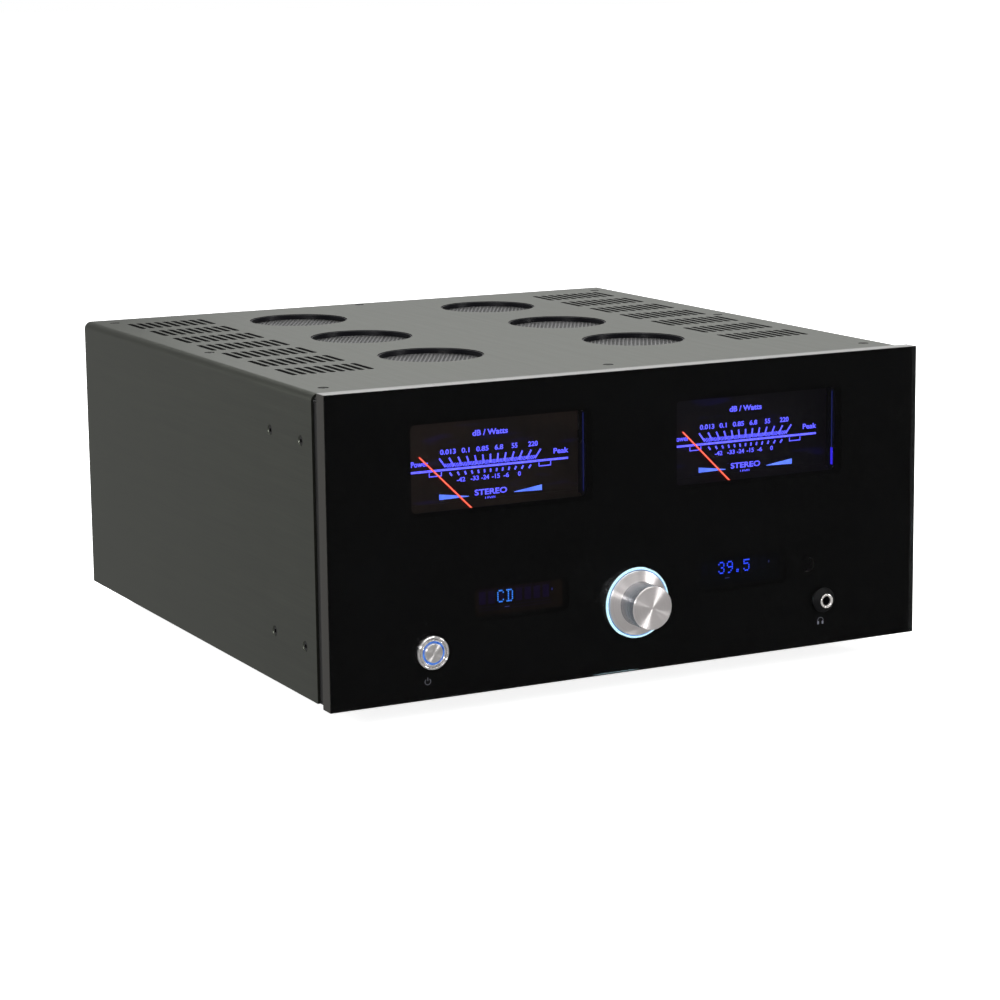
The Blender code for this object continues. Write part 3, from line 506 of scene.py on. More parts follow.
def lettering(bm, text, centre, height, depth, thickness=0.05, facing="front", width=None, bold=0.01):
    """Add raised letters centred at (x, height); height is that of a capital letter."""
    curve = bpy.data.curves.new("lettering", "FONT")
    curve.body = text
    curve.align_x = "CENTER"
    curve.align_y = "CENTER"
    curve.resolution_u = 4
    curve.offset = bold
    holder = add_object("lettering", curve)
    bpy.context.view_layer.update()
    mesh = bpy.data.meshes.new_from_object(holder.evaluated_get(bpy.context.evaluated_depsgraph_get()))
    bpy.data.objects.remove(holder)
    xs = [v.co.x for v in mesh.vertices]
    ys = [v.co.y for v in mesh.vertices]
    scale = height / (max(ys) - min(ys))
    stretch = width / ((max(xs) - min(xs)) * scale) if width else 1.0
    mid_x, mid_y = (max(xs) + min(xs)) / 2, (max(ys) + min(ys)) / 2
    outward = -1 if facing == "front" else 1
    for vertex in mesh.vertices:
        u = (vertex.co.x - mid_x) * scale * stretch * -outward
        v = (vertex.co.y - mid_y) * scale
        vertex.co = at(centre[0] + u, depth, centre[1] + v)
    glyphs = bmesh.new()
    glyphs.from_mesh(mesh)
    bmesh.ops.remove_doubles(glyphs, verts=glyphs.verts, dist=0.00001)
    thickened(glyphs, Vector((0, thickness * MM * outward, 0)))
    bmesh.ops.recalc_face_normals(glyphs, faces=glyphs.faces)
    glyphs.to_mesh(mesh)
    glyphs.free()
    bm.from_mesh(mesh)
    bpy.data.meshes.remove(mesh)


def add_bar(bm, start, end, width, depth, thickness=0.06, material=0):
    """A thin flat bar between two (x, height) points."""
    a, b = Vector(start), Vector(end)
    side = (b - a).orthogonal().normalized() * width / 2
    add_prism(bm, [a - side, b - side, b + side, a + side], depth, depth - thickness, "front", material)


# ------------------------------------------------------------------------------------------------- casing

SCREW_RADIUS = 2.9
WINDOW_CORNER = 3.0
SLEEVE_MARGIN = 1.2
SLEEVE_DROP = 1.2
FLANGE_DEPTH = 8.6
FLANGE_MARGIN = 5.6
METER_CENTRES = {label: (middle(f"meter_dial_{label}")[0], 143.7) for _, label in SIDES}
METER_OPENING = (121.8, 54.8)
DISPLAY_CENTRES = {label: middle(f"display_{label}")[::2] for _, label in SIDES}
DISPLAY_OPENING = (61.8, 17.4)
KNOB = middle("volume_knob")
BUTTON = middle("power_button_cap")
JACK = middle("headphone_socket")
RECEIVER = middle("ir_receiver")
COVER_LOW, COVER_HIGH = span("top_cover")
HALF = COVER_HIGH[0]
SHEET = 1.5
SIDE_FRONT = 18.6
TONGUE_REACH = 205.0
TONGUE_CORNER = 4.0
VENTS = [middle(f"vent_grille_{number}")[:2] for number in range(1, 7)]
VENT_RADIUS = 35.1
SLOT = (4.0, 31.5)
SLOT_PITCH = (6.6, 45.5)
SLOT_CENTRE = (165.0, 249.0)
TOP_SCREWS = [(side * 198.4, depth) for side in (-1, 1) for depth in (38.0, 226.1, 412.3)]
TOP_SCREWS += [(0.0, 36.8), (0.0, 422.9)]
SIDE_SCREWS = [(depth, height) for depth in (36.2, 84.3) for height in (34.6, 162.8)]


def cover_line(inset):
    """Cross-section of one face of the folded sheet, from the right edge over the top to the left."""
    half = HALF - inset
    top = COVER_HIGH[2] - inset
    radius = 5.0 - inset
    low = COVER_LOW[2]
    return filleted([(half, low, 0), (half, top, radius), (-half, top, radius), (-half, low, 0)],
                    closed=False, steps=10)


def make_cover():
    """The folded sheet with its tongue, slots, vents and countersunk screw holes."""
    section = cover_line(0.0) + cover_line(SHEET)[::-1]
    cover = solid("top_cover_sheet", prisms((section, SIDE_FRONT, COVER_HIGH[1])), [COVER])

    reach, radius, front = TONGUE_REACH, TONGUE_CORNER, COVER_LOW[1]
    inner = SIDE_FRONT + 1.0
    corner = []
    for step in range(7):
        angle = math.pi / 2 * (1 - step / 6)
        corner.append((reach + radius - radius * math.cos(angle),
                       SIDE_FRONT - radius + radius * math.sin(angle)))
    outline = [(reach + radius, inner)] + corner + [(reach, front)]
    outline += [(-x, depth) for x, depth in reversed(outline)]
    combine(cover, prisms((outline, COVER_HIGH[2] - SHEET, COVER_HIGH[2], "top")), "UNION")

    cutters = bmesh.new()
    low, high = COVER_HIGH[2] - 3.0, COVER_HIGH[2] + 1.0
    for side in (-1, 1):
        for column in range(-4, 5):
            x = side * SLOT_CENTRE[0] + column * SLOT_PITCH[0]
            for row in range(-3, 4):
                depth = SLOT_CENTRE[1] + row * SLOT_PITCH[1]
                outline = rounded_rectangle(SLOT[0], SLOT[1], SLOT[0] / 2 - 0.01, x, depth, steps=4)
                add_prism(cutters, outline, low, high, "top")
    for x, depth in VENTS:
        add_prism(cutters, ring_points(VENT_RADIUS, x, depth, 96), low, high, "top")
    hole = [(0, -3.0), (SCREW_RADIUS - 0.6, -3.0), (SCREW_RADIUS - 0.6, -1.4), (SCREW_RADIUS + 0.75, 0.15),
            (SCREW_RADIUS + 0.75, 1.0), (0, 1.0)]
    for x, depth in TOP_SCREWS:
        add_turned(cutters, hole, at(x, depth, COVER_HIGH[2]), "up", 28)
    for side, label in SIDES:
        for depth, height in SIDE_SCREWS:
            add_turned(cutters, hole, at(side * HALF, depth, height), label, 28)
    combine(cover, cutters)
    softened(cover, 0.15, segments=1)
    # Painted shade: the walls of the slots, vents and screw holes take the nearly black second material.
    cover.data.materials.append(HOLE_WALL_SHADE)
    front_right, back_left = at(HALF - 8, SIDE_FRONT + 12, 0), at(8 - HALF, COVER_HIGH[1] - 3, 0)
    for face in cover.data.polygons:
        inside = back_left.x < face.center.x < front_right.x and front_right.y < face.center.y < back_left.y
        if inside and abs(face.normal.z) < 0.9:
            face.material_index = 1
    shown(cover, replaces=["top_cover"])


def hexagon(angle, radius):
    """Radius of a hexagon with the given across-flats half width, at an angle."""
    return radius / math.cos((angle + math.pi / 6) % (math.pi / 3) - math.pi / 6)


def add_socket_head(bm, centre, facing, radius=SCREW_RADIUS, proud=-0.4):
    """A screw head with a six-sided socket sunk in its face."""
    key = radius * 0.42
    head = [(0, -2.2), (radius - 1.2, -2.2), (radius - 0.1, proud - 0.5), (radius, proud - 0.25),
            (radius - 0.15, proud - 0.07), (radius * 0.62, proud), (key + 0.1, proud, hexagon),
            (key, proud - 0.12, hexagon), (key, proud - 1.4, hexagon), (0, proud - 1.5)]
    add_turned(bm, head, centre, facing, 24)


def screws(name, bm):
    piece(name, bm, [DARK_SCREW], sharp=25)


def make_casing_screws():
    bm = bmesh.new()
    for x, depth in TOP_SCREWS:
        add_socket_head(bm, at(x, depth, COVER_HIGH[2]), "up")
    screws("top_screws", bm)
    for side, label in SIDES:
        bm = bmesh.new()
        for depth, height in SIDE_SCREWS:
            add_socket_head(bm, at(side * HALF, depth, height), label)
        screws(f"side_screws_{label}", bm)


def perforated_disc(radius, hole, pitch, top, thickness):
    """A sheet of hexagonal cells, each with a round hole, about the world origin."""
    bm = bmesh.new()
    sides = 12
    row_step = pitch * math.sqrt(3) / 2
    rows = int(radius / row_step) + 1
    for row in range(-rows, rows + 1):
        for column in range(-rows - 1, rows + 2):
            x = (column + (row % 2) / 2) * pitch
            y = row * row_step
            if math.hypot(x, y) > radius:
                continue
            inner, outer = [], []
            for step in range(sides):
                angle = 2 * math.pi * step / sides
                for ring, reach in ((inner, hole), (outer, hexagon(angle, pitch / 2))):
                    spot = Vector((x + reach * math.cos(angle), y + reach * math.sin(angle), top))
                    ring.append(bm.verts.new(spot * MM))
            walled(bm, (outer, inner))
    bmesh.ops.remove_doubles(bm, verts=bm.verts, dist=0.00002)
    thickened(bm, Vector((0, 0, -thickness * MM)))
    return finished_mesh("perforated_disc", bm)


def make_vents():
    """A gloss black collar and a disc of perforated sheet in each round opening."""
    top = COVER_HIGH[2]
    mesh_top = -3.7
    disc = perforated_disc(36.0, 1.16, 3.2, mesh_top, 0.7)
    disc.materials.append(MESH_STEEL)
    collar = filleted([(34.1, -0.45, 0.25), (34.9, -0.45, 0.25), (34.9, -1.75, 0), (37.4, -1.75, 0.3),
                       (37.4, mesh_top + 0.1, 0.3), (34.1, mesh_top + 0.1, 0.2)], steps=3)
    for number, (x, depth) in enumerate(VENTS, start=1):
        place = at(x, depth, top)
        piece(f"vent_collar_{number}", turnings((collar, place, "up", 96)), [GLOSS])
        sheet = add_object(f"vent_mesh_{number}", disc)
        sheet.location = place
        shown(sheet, replaces=[f"vent_grille_{number}"])


# ------------------------------------------------------------------------------------------------- fascia

PLATE_HOLES = (8.0, 8.6, 6.6)
GLASS_HOLES = (23.1, 9.0, 7.0)


def fascia_openings(near, far, radii, margin=None):
    """Cutters for the knob, the button and the socket, and with a margin for the windows too."""
    outlines = [ring_points(radius, centre[0], centre[2], 64)
                for centre, radius in zip((KNOB, BUTTON, JACK), radii)]
    if margin is not None:
        for label in ("left", "right"):
            for centre, size in ((METER_CENTRES, METER_OPENING), (DISPLAY_CENTRES, DISPLAY_OPENING)):
                outlines.append(rounded_rectangle(size[0] + 2 * margin, size[1] + 2 * margin,
                                                  WINDOW_CORNER + margin / 2, *centre[label]))
        outlines.append(ring_points(5.0, RECEIVER[0], RECEIVER[2], 40))
    return prisms(*((outline, near, far) for outline in outlines))


def make_fascia():
    """The plate with its rim, the glass inside the rim, and the black paint behind the glass."""
    low, high = span("fascia_plate")
    rim = 0.3
    plate = solid("fascia_surround", prisms((outline_of("fascia_plate", 0.6, 3), low[1], high[1])), [FASCIA])
    combine(plate, prisms((outline_of("fascia_plate", 0.3, 3, rim), low[1] - 1, 4.3)))
    combine(plate, fascia_openings(2, high[1] + 1, PLATE_HOLES, 6.2))
    softened(plate, 0.12)
    # Painted highlight: the top face and its bevel take the lighter copy of the fascia aluminium.
    plate.data.materials.append(FASCIA_TOP_HIGHLIGHT)
    for face in plate.data.polygons:
        if face.normal.z > 0.7 and face.center.z > at(0, 0, high[2] - 0.5).z:
            face.material_index = 1
    shown(plate, replaces=["fascia_plate"])

    glass = outline_of("fascia_plate", 0.8, 3, rim + 0.05)
    pane = solid("fascia_glass_pane", prisms((glass, 0.0, 3.94)), [GLASS])
    combine(pane, fascia_openings(-1, 5, GLASS_HOLES))
    softened(pane, 0.2)
    shown(pane, replaces=["front_glass"])

    backing = solid("glass_backing", prisms((glass, 4.0, 4.16)), [MASK])
    combine(backing, fascia_openings(3, 5, GLASS_HOLES, 2.4))
    shown(backing)


def add_arc_band(bm, centre, radius, width, start, end, depth, steps=24, thickness=0.03):
    """A curved flat band between two angles in degrees, seen from the front."""
    inner, outer = [], []
    for step in range(steps + 1):
        angle = math.radians(start + (end - start) * step / steps)
        direction = Vector((math.cos(angle), math.sin(angle)))
        inner.append(Vector(centre) + direction * (radius - width / 2))
        outer.append(Vector(centre) + direction * (radius + width / 2))
    add_prism(bm, outer + inner[::-1], depth, depth - thickness)


def make_icons():
    """The power and headphone symbols, printed on the back of the glass."""
    depth = 3.985
    bm = bmesh.new()
    centre = (BUTTON[0] - 2.2, 11.0)
    add_arc_band(bm, centre, 1.9, 0.62, 130, 410, depth)
    add_bar(bm, (centre[0], centre[1] + 0.5), (centre[0], centre[1] + 2.7), 0.62, depth, 0.03)
    centre = (JACK[0] - 0.5, 15.7)
    add_arc_band(bm, centre, 2.2, 0.5, -10, 190, depth)
    for side in (-1, 1):
        outline = rounded_rectangle(1.3, 2.2, 0.5, centre[0] + side * 1.75, centre[1] - 1.3, 4)
        add_prism(bm, outline, depth, depth - 0.03, "front", 1)
    piece("glass_symbols", bm, [PRINT, PALE_PRINT])


# ----------------------------------------------------------------------------------------------- controls

def make_knob():
    centre = at(KNOB[0], 0, KNOB[2])
    low, high = span("volume_knob")
    front = -low[1]
    radius, flange, flange_front, foot = 14.2, (high[0] - low[0]) / 2, 1.6, 3.2
    profile = filleted([
        (0, front - 0.12, 0), (radius - 1.1, front, 0.2), (radius - 0.55, front, 0.1),
        (radius, front - 0.5, 0.15), (radius, foot + 0.3, 0.1), (radius + 0.35, foot + 0.25, 0.15),
        (radius + 0.8, foot, 0.15), (flange - 0.35, flange_front, 0.1), (flange, flange_front - 0.35, 0.1),
        (flange, 0.3, 0), (3.3, 0.3, 0), (3.3, 13.3, 0), (0, 13.3, 0)], closed=False, steps=3)
    bm = turnings((profile, centre, "front", 128))
    # The faces of the barrel's side take the second material.
    for face in bm.faces:
        offset = (face.calc_center_median() - centre) / MM
        if foot < -offset.y < front - 0.6 and offset.xz.length < radius + 0.1:
            face.material_index = 1
    metal = spun("knob_spun_aluminium", (0.96, 0.91, 0.90), 0.43, KNOB)
    # Painted shade: the barrel is a much darker copy of the knob's spun aluminium, for the dark glass and
    # room it mirrors.
    barrel = spun("knob_barrel_painted_shade", (0.42, 0.42, 0.44), 0.26, KNOB)
    piece("volume_knob_turned", bm, [metal, barrel], "volume_control", ["volume_knob"], 20)

    low, high = span("knob_light_ring")
    outer, inner, back = (high[0] - low[0]) / 2, flange + 0.3, -4.0
    split = outer - 1.15
    band = [(outer, back), (outer, 0.45), (outer - 0.3, 0.8), (split, 0.8), (split, back)]
    lip = [(split - 0.02, back), (split - 0.02, 0.75), (inner + 0.15, 0.55), (inner, 0.35), (inner, back)]
    bm = turnings((band, centre, "front", 128, 0), (lip, centre, "front", 128, 1))
    piece("knob_ring_light", bm, [RING_GLOW, RING_INNER_GLOW], replaces=["knob_light_ring"])


def make_power_button():
    centre = at(BUTTON[0], 0, BUTTON[2])
    metal = spun("button_spun_aluminium", (0.84, 0.81, 0.80), 0.40, BUTTON)
    polished = spun("button_polished_rim", (0.95, 0.93, 0.92), 0.22, BUTTON)
    bezel = filleted([(10.6, 0.3, 0), (10.6, 1.8, 0.5), (10.1, 2.6, 0.4), (9.5, 2.6, 0.35), (9.2, 1.6, 0.15),
                      (8.6, 1.6, 0.15), (8.3, 2.4, 0.3), (7.75, 2.4, 0.3), (7.45, 1.9, 0.1), (7.45, -8.0, 0),
                      (8.2, -8.0, 0), (8.2, 0.3, 0)], steps=4)
    piece("power_bezel_turned", turnings((bezel, centre, "front", 96)), [polished],
          replaces=["power_button_bezel"], sharp=24)
    ring = filleted([(7.3, -8.0, 0), (7.3, 1.5, 0.15), (6.25, 1.2, 0.15), (6.25, -8.0, 0)], steps=3)
    piece("power_ring_light", turnings((ring, centre, "front", 96)), [BUTTON_GLOW],
          replaces=["power_light_ring"])
    cap = filleted([(0, 3.0, 0), (5.6, 3.0, 0.1), (6.1, 2.5, 0.2), (6.1, -11.2, 0), (0, -11.2, 0)],
                   closed=False, steps=3)
    piece("power_cap_turned", turnings((cap, centre, "front", 96)), [metal], "power_button",
          ["power_button_cap"], 20)


def make_headphone_socket():
    centre = at(JACK[0], 0, JACK[2])
    front = -span("headphone_socket")[0][1] - 0.6
    rim = front - 0.7
    collar = filleted([(8.3, 0.3, 0), (8.3, 1.0, 0.5), (5.6, rim, 0.5), (5.0, rim, 0.1), (5.0, 0.3, 0)],
                      steps=4)
    piece("headphone_collar_moulded", turnings((collar, centre, "front", 72)), [COLLAR],
          replaces=["headphone_collar"])
    sleeve = filleted([(0, -34.0, 0), (4.8, -34.0, 0), (4.8, front - 0.2, 0.5), (4.1, front, 0.3),
                       (3.2, front - 0.7, 0.3), (3.1, 2.0, 0), (3.1, -32.0, 0), (0, -32.0, 0)],
                      closed=False, steps=4)
    piece("headphone_sleeve", turnings((sleeve, centre, "front", 72)), [CHROME],
          replaces=["headphone_socket"])
    lining = [(3.07, -31.9), (3.07, 3.2), (2.9, 3.2), (2.9, -31.9)]
    tip = [(0, -31.9), (2.85, -31.9), (2.85, -31.0), (0, -31.0)]
    piece("headphone_lining", turnings((lining, centre, "front", 48), (tip, centre, "front", 32)), [GLOSS])


# ------------------------------------------------------------------------------------- meters and displays

SCALE_HALF = 31.7
TICK_COUNT = 13
PIVOT_HEIGHT = 99.0
UPPER_TICK = (141.0, 146.6)
LOWER_TICK = (135.1, 137.2)
SCALE_LINE = 139.2
POWER_NUMBERS = (("0.013", -29.8, 11.0), ("0.1", -17.5, 5.5), ("0.85", -5.6, 8.7), ("6.8", 6.1, 6.0),
                 ("55", 17.2, 4.2), ("220", 30.4, 6.8))
LEVEL_NUMBERS = (("-42", -20.9, 5.9), ("-33", -11.3, 5.8), ("-24", -3.9, 5.6), ("-15", 3.7, 5.7),
                 ("-6", 11.1, 3.8), ("0", 20.5, 2.0))
# The print sits a little off each window's middle, and is a little narrower than laid out here.
PRINT_SHIFT = {"left": 0.15, "right": -0.6}
PRINT_SCALE = 0.988
PRINT_BOLD = 0.02


def scale_x(fraction):
    """Where a division crosses the foot of the upper ticks; the spacing widens to both ends."""
    return SCALE_HALF * fraction * (1 + 0.1 * fraction * fraction) / 1.1


def add_tick(bm, centre_x, fraction, heights, width, depth):
    """A mark along the line from the needle's pivot through one division of the scale."""
    slope = scale_x(fraction) / (UPPER_TICK[0] - PIVOT_HEIGHT)
    ends = [(centre_x + slope * (height - PIVOT_HEIGHT), height) for height in heights]
    add_bar(bm, ends[0], ends[1], width, depth)


def make_dial_print(label, depth):
    """Glowing scale, numbers and ornaments on the meter's dial."""
    x = METER_CENTRES[label][0] + PRINT_SHIFT[label]
    bm = bmesh.new()
    last = TICK_COUNT - 1
    for index in range(TICK_COUNT):
        fraction = 2 * index / last - 1
        add_tick(bm, x, fraction, UPPER_TICK, 1.05, depth)
        add_tick(bm, x, fraction, LOWER_TICK, 1.1, depth)
    divisions = 5 * last
    for index in range(divisions):
        if index % 5:
            add_tick(bm, x, 2 * index / divisions - 1, (UPPER_TICK[0] - 0.5, UPPER_TICK[0] + 2.0), 0.5, depth)
    add_bar(bm, (x - 55.7, SCALE_LINE), (x + 55.7, SCALE_LINE), 1.35, depth)
    for side in (-1, 1):
        inner, outer = x + side * 34.6, x + side * 43.0
        add_bar(bm, (inner, 135.7), (outer, 135.7), 0.6, depth)
        add_bar(bm, (inner, 135.4), (inner, 138.0), 0.6, depth)
        add_bar(bm, (outer, 135.4), (outer, 138.0), 0.6, depth)
    words = [(text, offset, 150.4, 3.2, width) for text, offset, width in POWER_NUMBERS]
    words += [(text, offset, 132.2, 2.9, width) for text, offset, width in LEVEL_NUMBERS]
    words += [("dB / Watts", 0.0, 160.6, 3.7, 25.0), ("Power", -49.6, 144.2, 3.5, 11.8),
              ("Peak", 50.6, 144.4, 3.5, 10.8), ("STEREO", 0.0, 122.9, 3.7, 23.0)]
    for text, offset, height, size, width in words:
        lettering(bm, text, (x + offset, height), size, depth, width=width, bold=PRINT_BOLD)
    lettering(bm, "LEVEL", (x, 118.9), 1.5, depth, width=8.0)
    left = [(x - 36.35, 120.6), (x - 15.5, 120.9), (x - 15.5, 121.3), (x - 36.35, 124.1)]
    right = [(x + 16.5, 120.7), (x + 36.55, 120.2), (x + 36.55, 123.8), (x + 16.5, 121.1)]
    for outline in (left, right):
        add_prism(bm, outline, depth, depth - 0.06, "front", 1)
    centre_x = at(x, 0, 0).x
    for vert in bm.verts:
        vert.co.x = centre_x + (vert.co.x - centre_x) * PRINT_SCALE
    piece(f"dial_print_{label}", bm, [SCALE_GLOW, WEDGE_GLOW])


# Strips of painted light on the right wall of each window, for the dial's light falling on it: bottom, top,
# width, and 1 for the brighter painted light.
EDGE_STRIPS = {"left": ((118.5, 169.5, 0.8, 0),), "right": ((118.5, 130.0, 2.6, 1), (130.0, 168.0, 0.8, 0))}


def dial_look(label):
    """Dark translucent dial with painted light: faint glow in broad uneven patches and blue streaks, for
    light falling on it.
    """
    tints = {"left": ((0.0040, 0.0030, 0.0028), (0.0098, 0.0064, 0.0052)),
             "right": ((0.0010, 0.0008, 0.0018), (0.0022, 0.0016, 0.0032))}
    dim, lit = tints[label]
    look = Look(f"dial_smoked_painted_light_{label}", (0.006, 0.005, 0.005), 0.6, Specular_IOR_Level=0.15)
    cloud = look.noise(38.0, (1.6, 1.0, 1.0), 2.0)
    streak = look.noise(3.0, (1.0, 1.0, 25.0), 2.0)
    glow = look.ramp(look.blend((cloud, 0.8), (streak, 0.2)), (0.35, dim), (0.62, lit))
    painted_blue_light = look.ramp(look.noise(7.0, (5.0, 1.0, 1.0), 1.0), (0.60, (0, 0, 0)), (0.85, (0.002, 0.001, 0.035)))
    # Painted light: the dial's glow stands in for light and reflections falling on it, warm on the left meter
    # and blue on the right.
    look.glow(look.node("ShaderNodeVectorMath", {0: glow, 1: painted_blue_light}, operation="ADD").outputs[0])
    look.link(look.ramp(cloud, (0.3, 0.55), (0.7, 0.7)), "Roughness")
    return look.material


def make_meter(label):
    """The housing with its flange, sleeve and cheeks, the dial, and painted light on one wall of the window.
    """
    x, mid = METER_CENTRES[label]
    width, height = METER_OPENING
    front, wall, back = 12.4, 2.0, span(f"meter_housing_{label}")[1][1]
    reveal = (width + 2 * SLEEVE_MARGIN, height + 2 * SLEEVE_MARGIN)
    drop = mid - SLEEVE_DROP
    opening = rounded_rectangle(*reveal, WINDOW_CORNER, x, drop, 6)
    node = f"meter_housing_{label}"
    housing = solid(f"meter_case_{label}", prisms((outline_of(node, 2.0, 4), front, back)), [DARK_BAR])
    combine(housing, prisms((outline_of(node, 1.5, 4, wall), front + wall, back + 1)))
    combine(housing, prisms((opening, 0, front + 2 * wall)))
    shown(housing, replaces=[node])

    flange = rounded_rectangle(width + 2 * FLANGE_MARGIN, height + 2 * FLANGE_MARGIN, 4.0, x, mid, 5)
    plate = solid(f"meter_flange_{label}", prisms((flange, FLANGE_DEPTH, FLANGE_DEPTH + 0.6)), [MASK])
    combine(plate, prisms((rounded_rectangle(width, height, WINDOW_CORNER, x, mid, 6), 0, front)))
    shown(plate)

    tube = rounded_rectangle(reveal[0] + 2 * wall, reveal[1] + 2 * wall, WINDOW_CORNER + wall, x, drop, 6)
    sleeve = solid(f"meter_sleeve_{label}", prisms((tube, FLANGE_DEPTH + 0.62, front - 0.02)), [DARK_BAR])
    combine(sleeve, prisms((opening, 0, front + wall)))
    softened(sleeve, 0.25)
    shown(sleeve)

    dial = f"meter_dial_{label}"
    low, high = span(dial)
    side, ceiling, thick = reveal[0] / 2, drop + reveal[1] / 2, 1.5
    cheeks = [rectangle(x + end * side, mid - height / 2, x + end * (side + thick), mid + height / 2)
              for end in (-1, 1)]
    cheeks.append(rectangle(x - side, ceiling, x + side, ceiling + thick))
    bm = prisms(*((cheek, front + wall, low[1] - 0.2) for cheek in cheeks))
    piece(f"meter_cheeks_{label}", bm, [DARK_BAR])

    ledge = rectangle(low[0] + 2, low[2], high[0] - 2, 118.4)
    bm = prisms((outline_of(dial, 1.5, 4), low[1], high[1]), (ledge, low[1] - 0.35, low[1] - 0.02))
    piece(f"dial_face_{label}", bm, [dial_look(label)], replaces=[dial])
    make_dial_print(label, low[1] - 0.03)

    bm = bmesh.new()
    depth = 14.0
    for bottom, top, strip, material in EDGE_STRIPS[label]:
        outline = rectangle(depth - strip / 2, bottom, depth + strip / 2, top)
        add_prism(bm, outline, x + side - 0.08, x + side - 0.01, "side", material)
    piece(f"window_edge_light_{label}", bm, [WALL_LIGHT_AND_MARK_GLOW, WALL_PAINTED_LIGHT])


def make_needle(label):
    """A glowing pointer: a pale core line between two red edges, on a hub with a counterweight."""
    low, high = span(f"meter_needle_{label}")
    x, depth = METER_CENTRES[label][0], (low[1] + high[1]) / 2
    lean = math.radians(45.4)
    length = 72.0

    def turned_point(across, along):
        return (x + across * math.cos(lean) - along * math.sin(lean),
                PIVOT_HEIGHT + across * math.sin(lean) + along * math.cos(lean))

    foot, neck = 3.0, length - 1.0
    blade = [(-0.62, foot), (0.62, foot), (0.55, neck), (0.25, length), (-0.25, length), (-0.55, neck)]
    core = [(-0.22, foot), (0.22, foot), (0.20, neck), (0.10, length - 0.3), (-0.10, length - 0.3),
            (-0.20, neck)]
    bm = prisms(([turned_point(*p) for p in blade], depth - 0.05, depth + 0.35, "front", 1),
                ([turned_point(*p) for p in core], depth - 0.35, depth - 0.06, "front", 0))
    piece(f"needle_pointer_{label}", bm, [NEEDLE_CORE, NEEDLE_EDGE], f"{label}_meter_needle",
          [f"meter_needle_{label}"])
    hub = filleted([(0, -0.4, 0), (3.2, -0.4, 0.1), (3.2, 0.4, 0.2), (1.4, 0.4, 0.1), (1.2, 0.75, 0.1),
                    (0, 0.75, 0)], closed=False, steps=3)
    bm = turnings((hub, at(x, depth, PIVOT_HEIGHT), "front", 36))
    tail = rectangle(-1.7, -9.5, 1.7, -2.4)
    add_prism(bm, [turned_point(*p) for p in tail], depth - 0.38, depth + 0.38)
    piece(f"needle_hub_{label}", bm, [DARK_SCREW], f"{label}_meter_needle")


GLYPHS = {
    "C": ("01110", "10001", "10000", "10000", "10000", "10001", "01110"),
    "D": ("11110", "01001", "01001", "01001", "01001", "01001", "11110"),
    "3": ("01110", "10001", "00001", "00110", "00001", "10001", "01110"),
    "9": ("01110", "10001", "10001", "01111", "00001", "00010", "01100"),
    ".": ("00000", "00000", "00000", "00000", "00000", "01100", "01100"),
    "5": ("11111", "10000", "11110", "00001", "00001", "10001", "01110"),
}
CELL_PITCH = 6.4
CELL_WIDTH = 4.7
CELL_HEIGHT = 8.2
CELL_MIDDLE = {"left": 58.2, "right": 58.7}
CELL_TINTS = {"left": ((0.0036, 0.0014, 0.0120), (0.0060, 0.0024, 0.0190)),
              "right": ((0.0004, 0.0006, 0.0022), (0.0008, 0.0010, 0.0040))}
# Painted light: faint warm glow on the left face and blue glow on the right, for light falling on them behind
# the glass.
FACE_TINTS = {"left": ((0.0026, 0.0016, 0.0012), (0.0052, 0.0030, 0.0020)),
              "right": ((0.0002, 0.0003, 0.0006), (0.0005, 0.0007, 0.0014))}


def faint_look(name, colour, size, dim, lit):
    """A nearly black surface with a faint uneven glow: painted light on the display faces, the dim glow of
    the unlit cells.
    """
    look = Look(name, colour, 0.8, Specular_IOR_Level=0.05)
    look.glow(look.ramp(look.noise(size), (0.35, dim), (0.65, lit)))
    return look.material


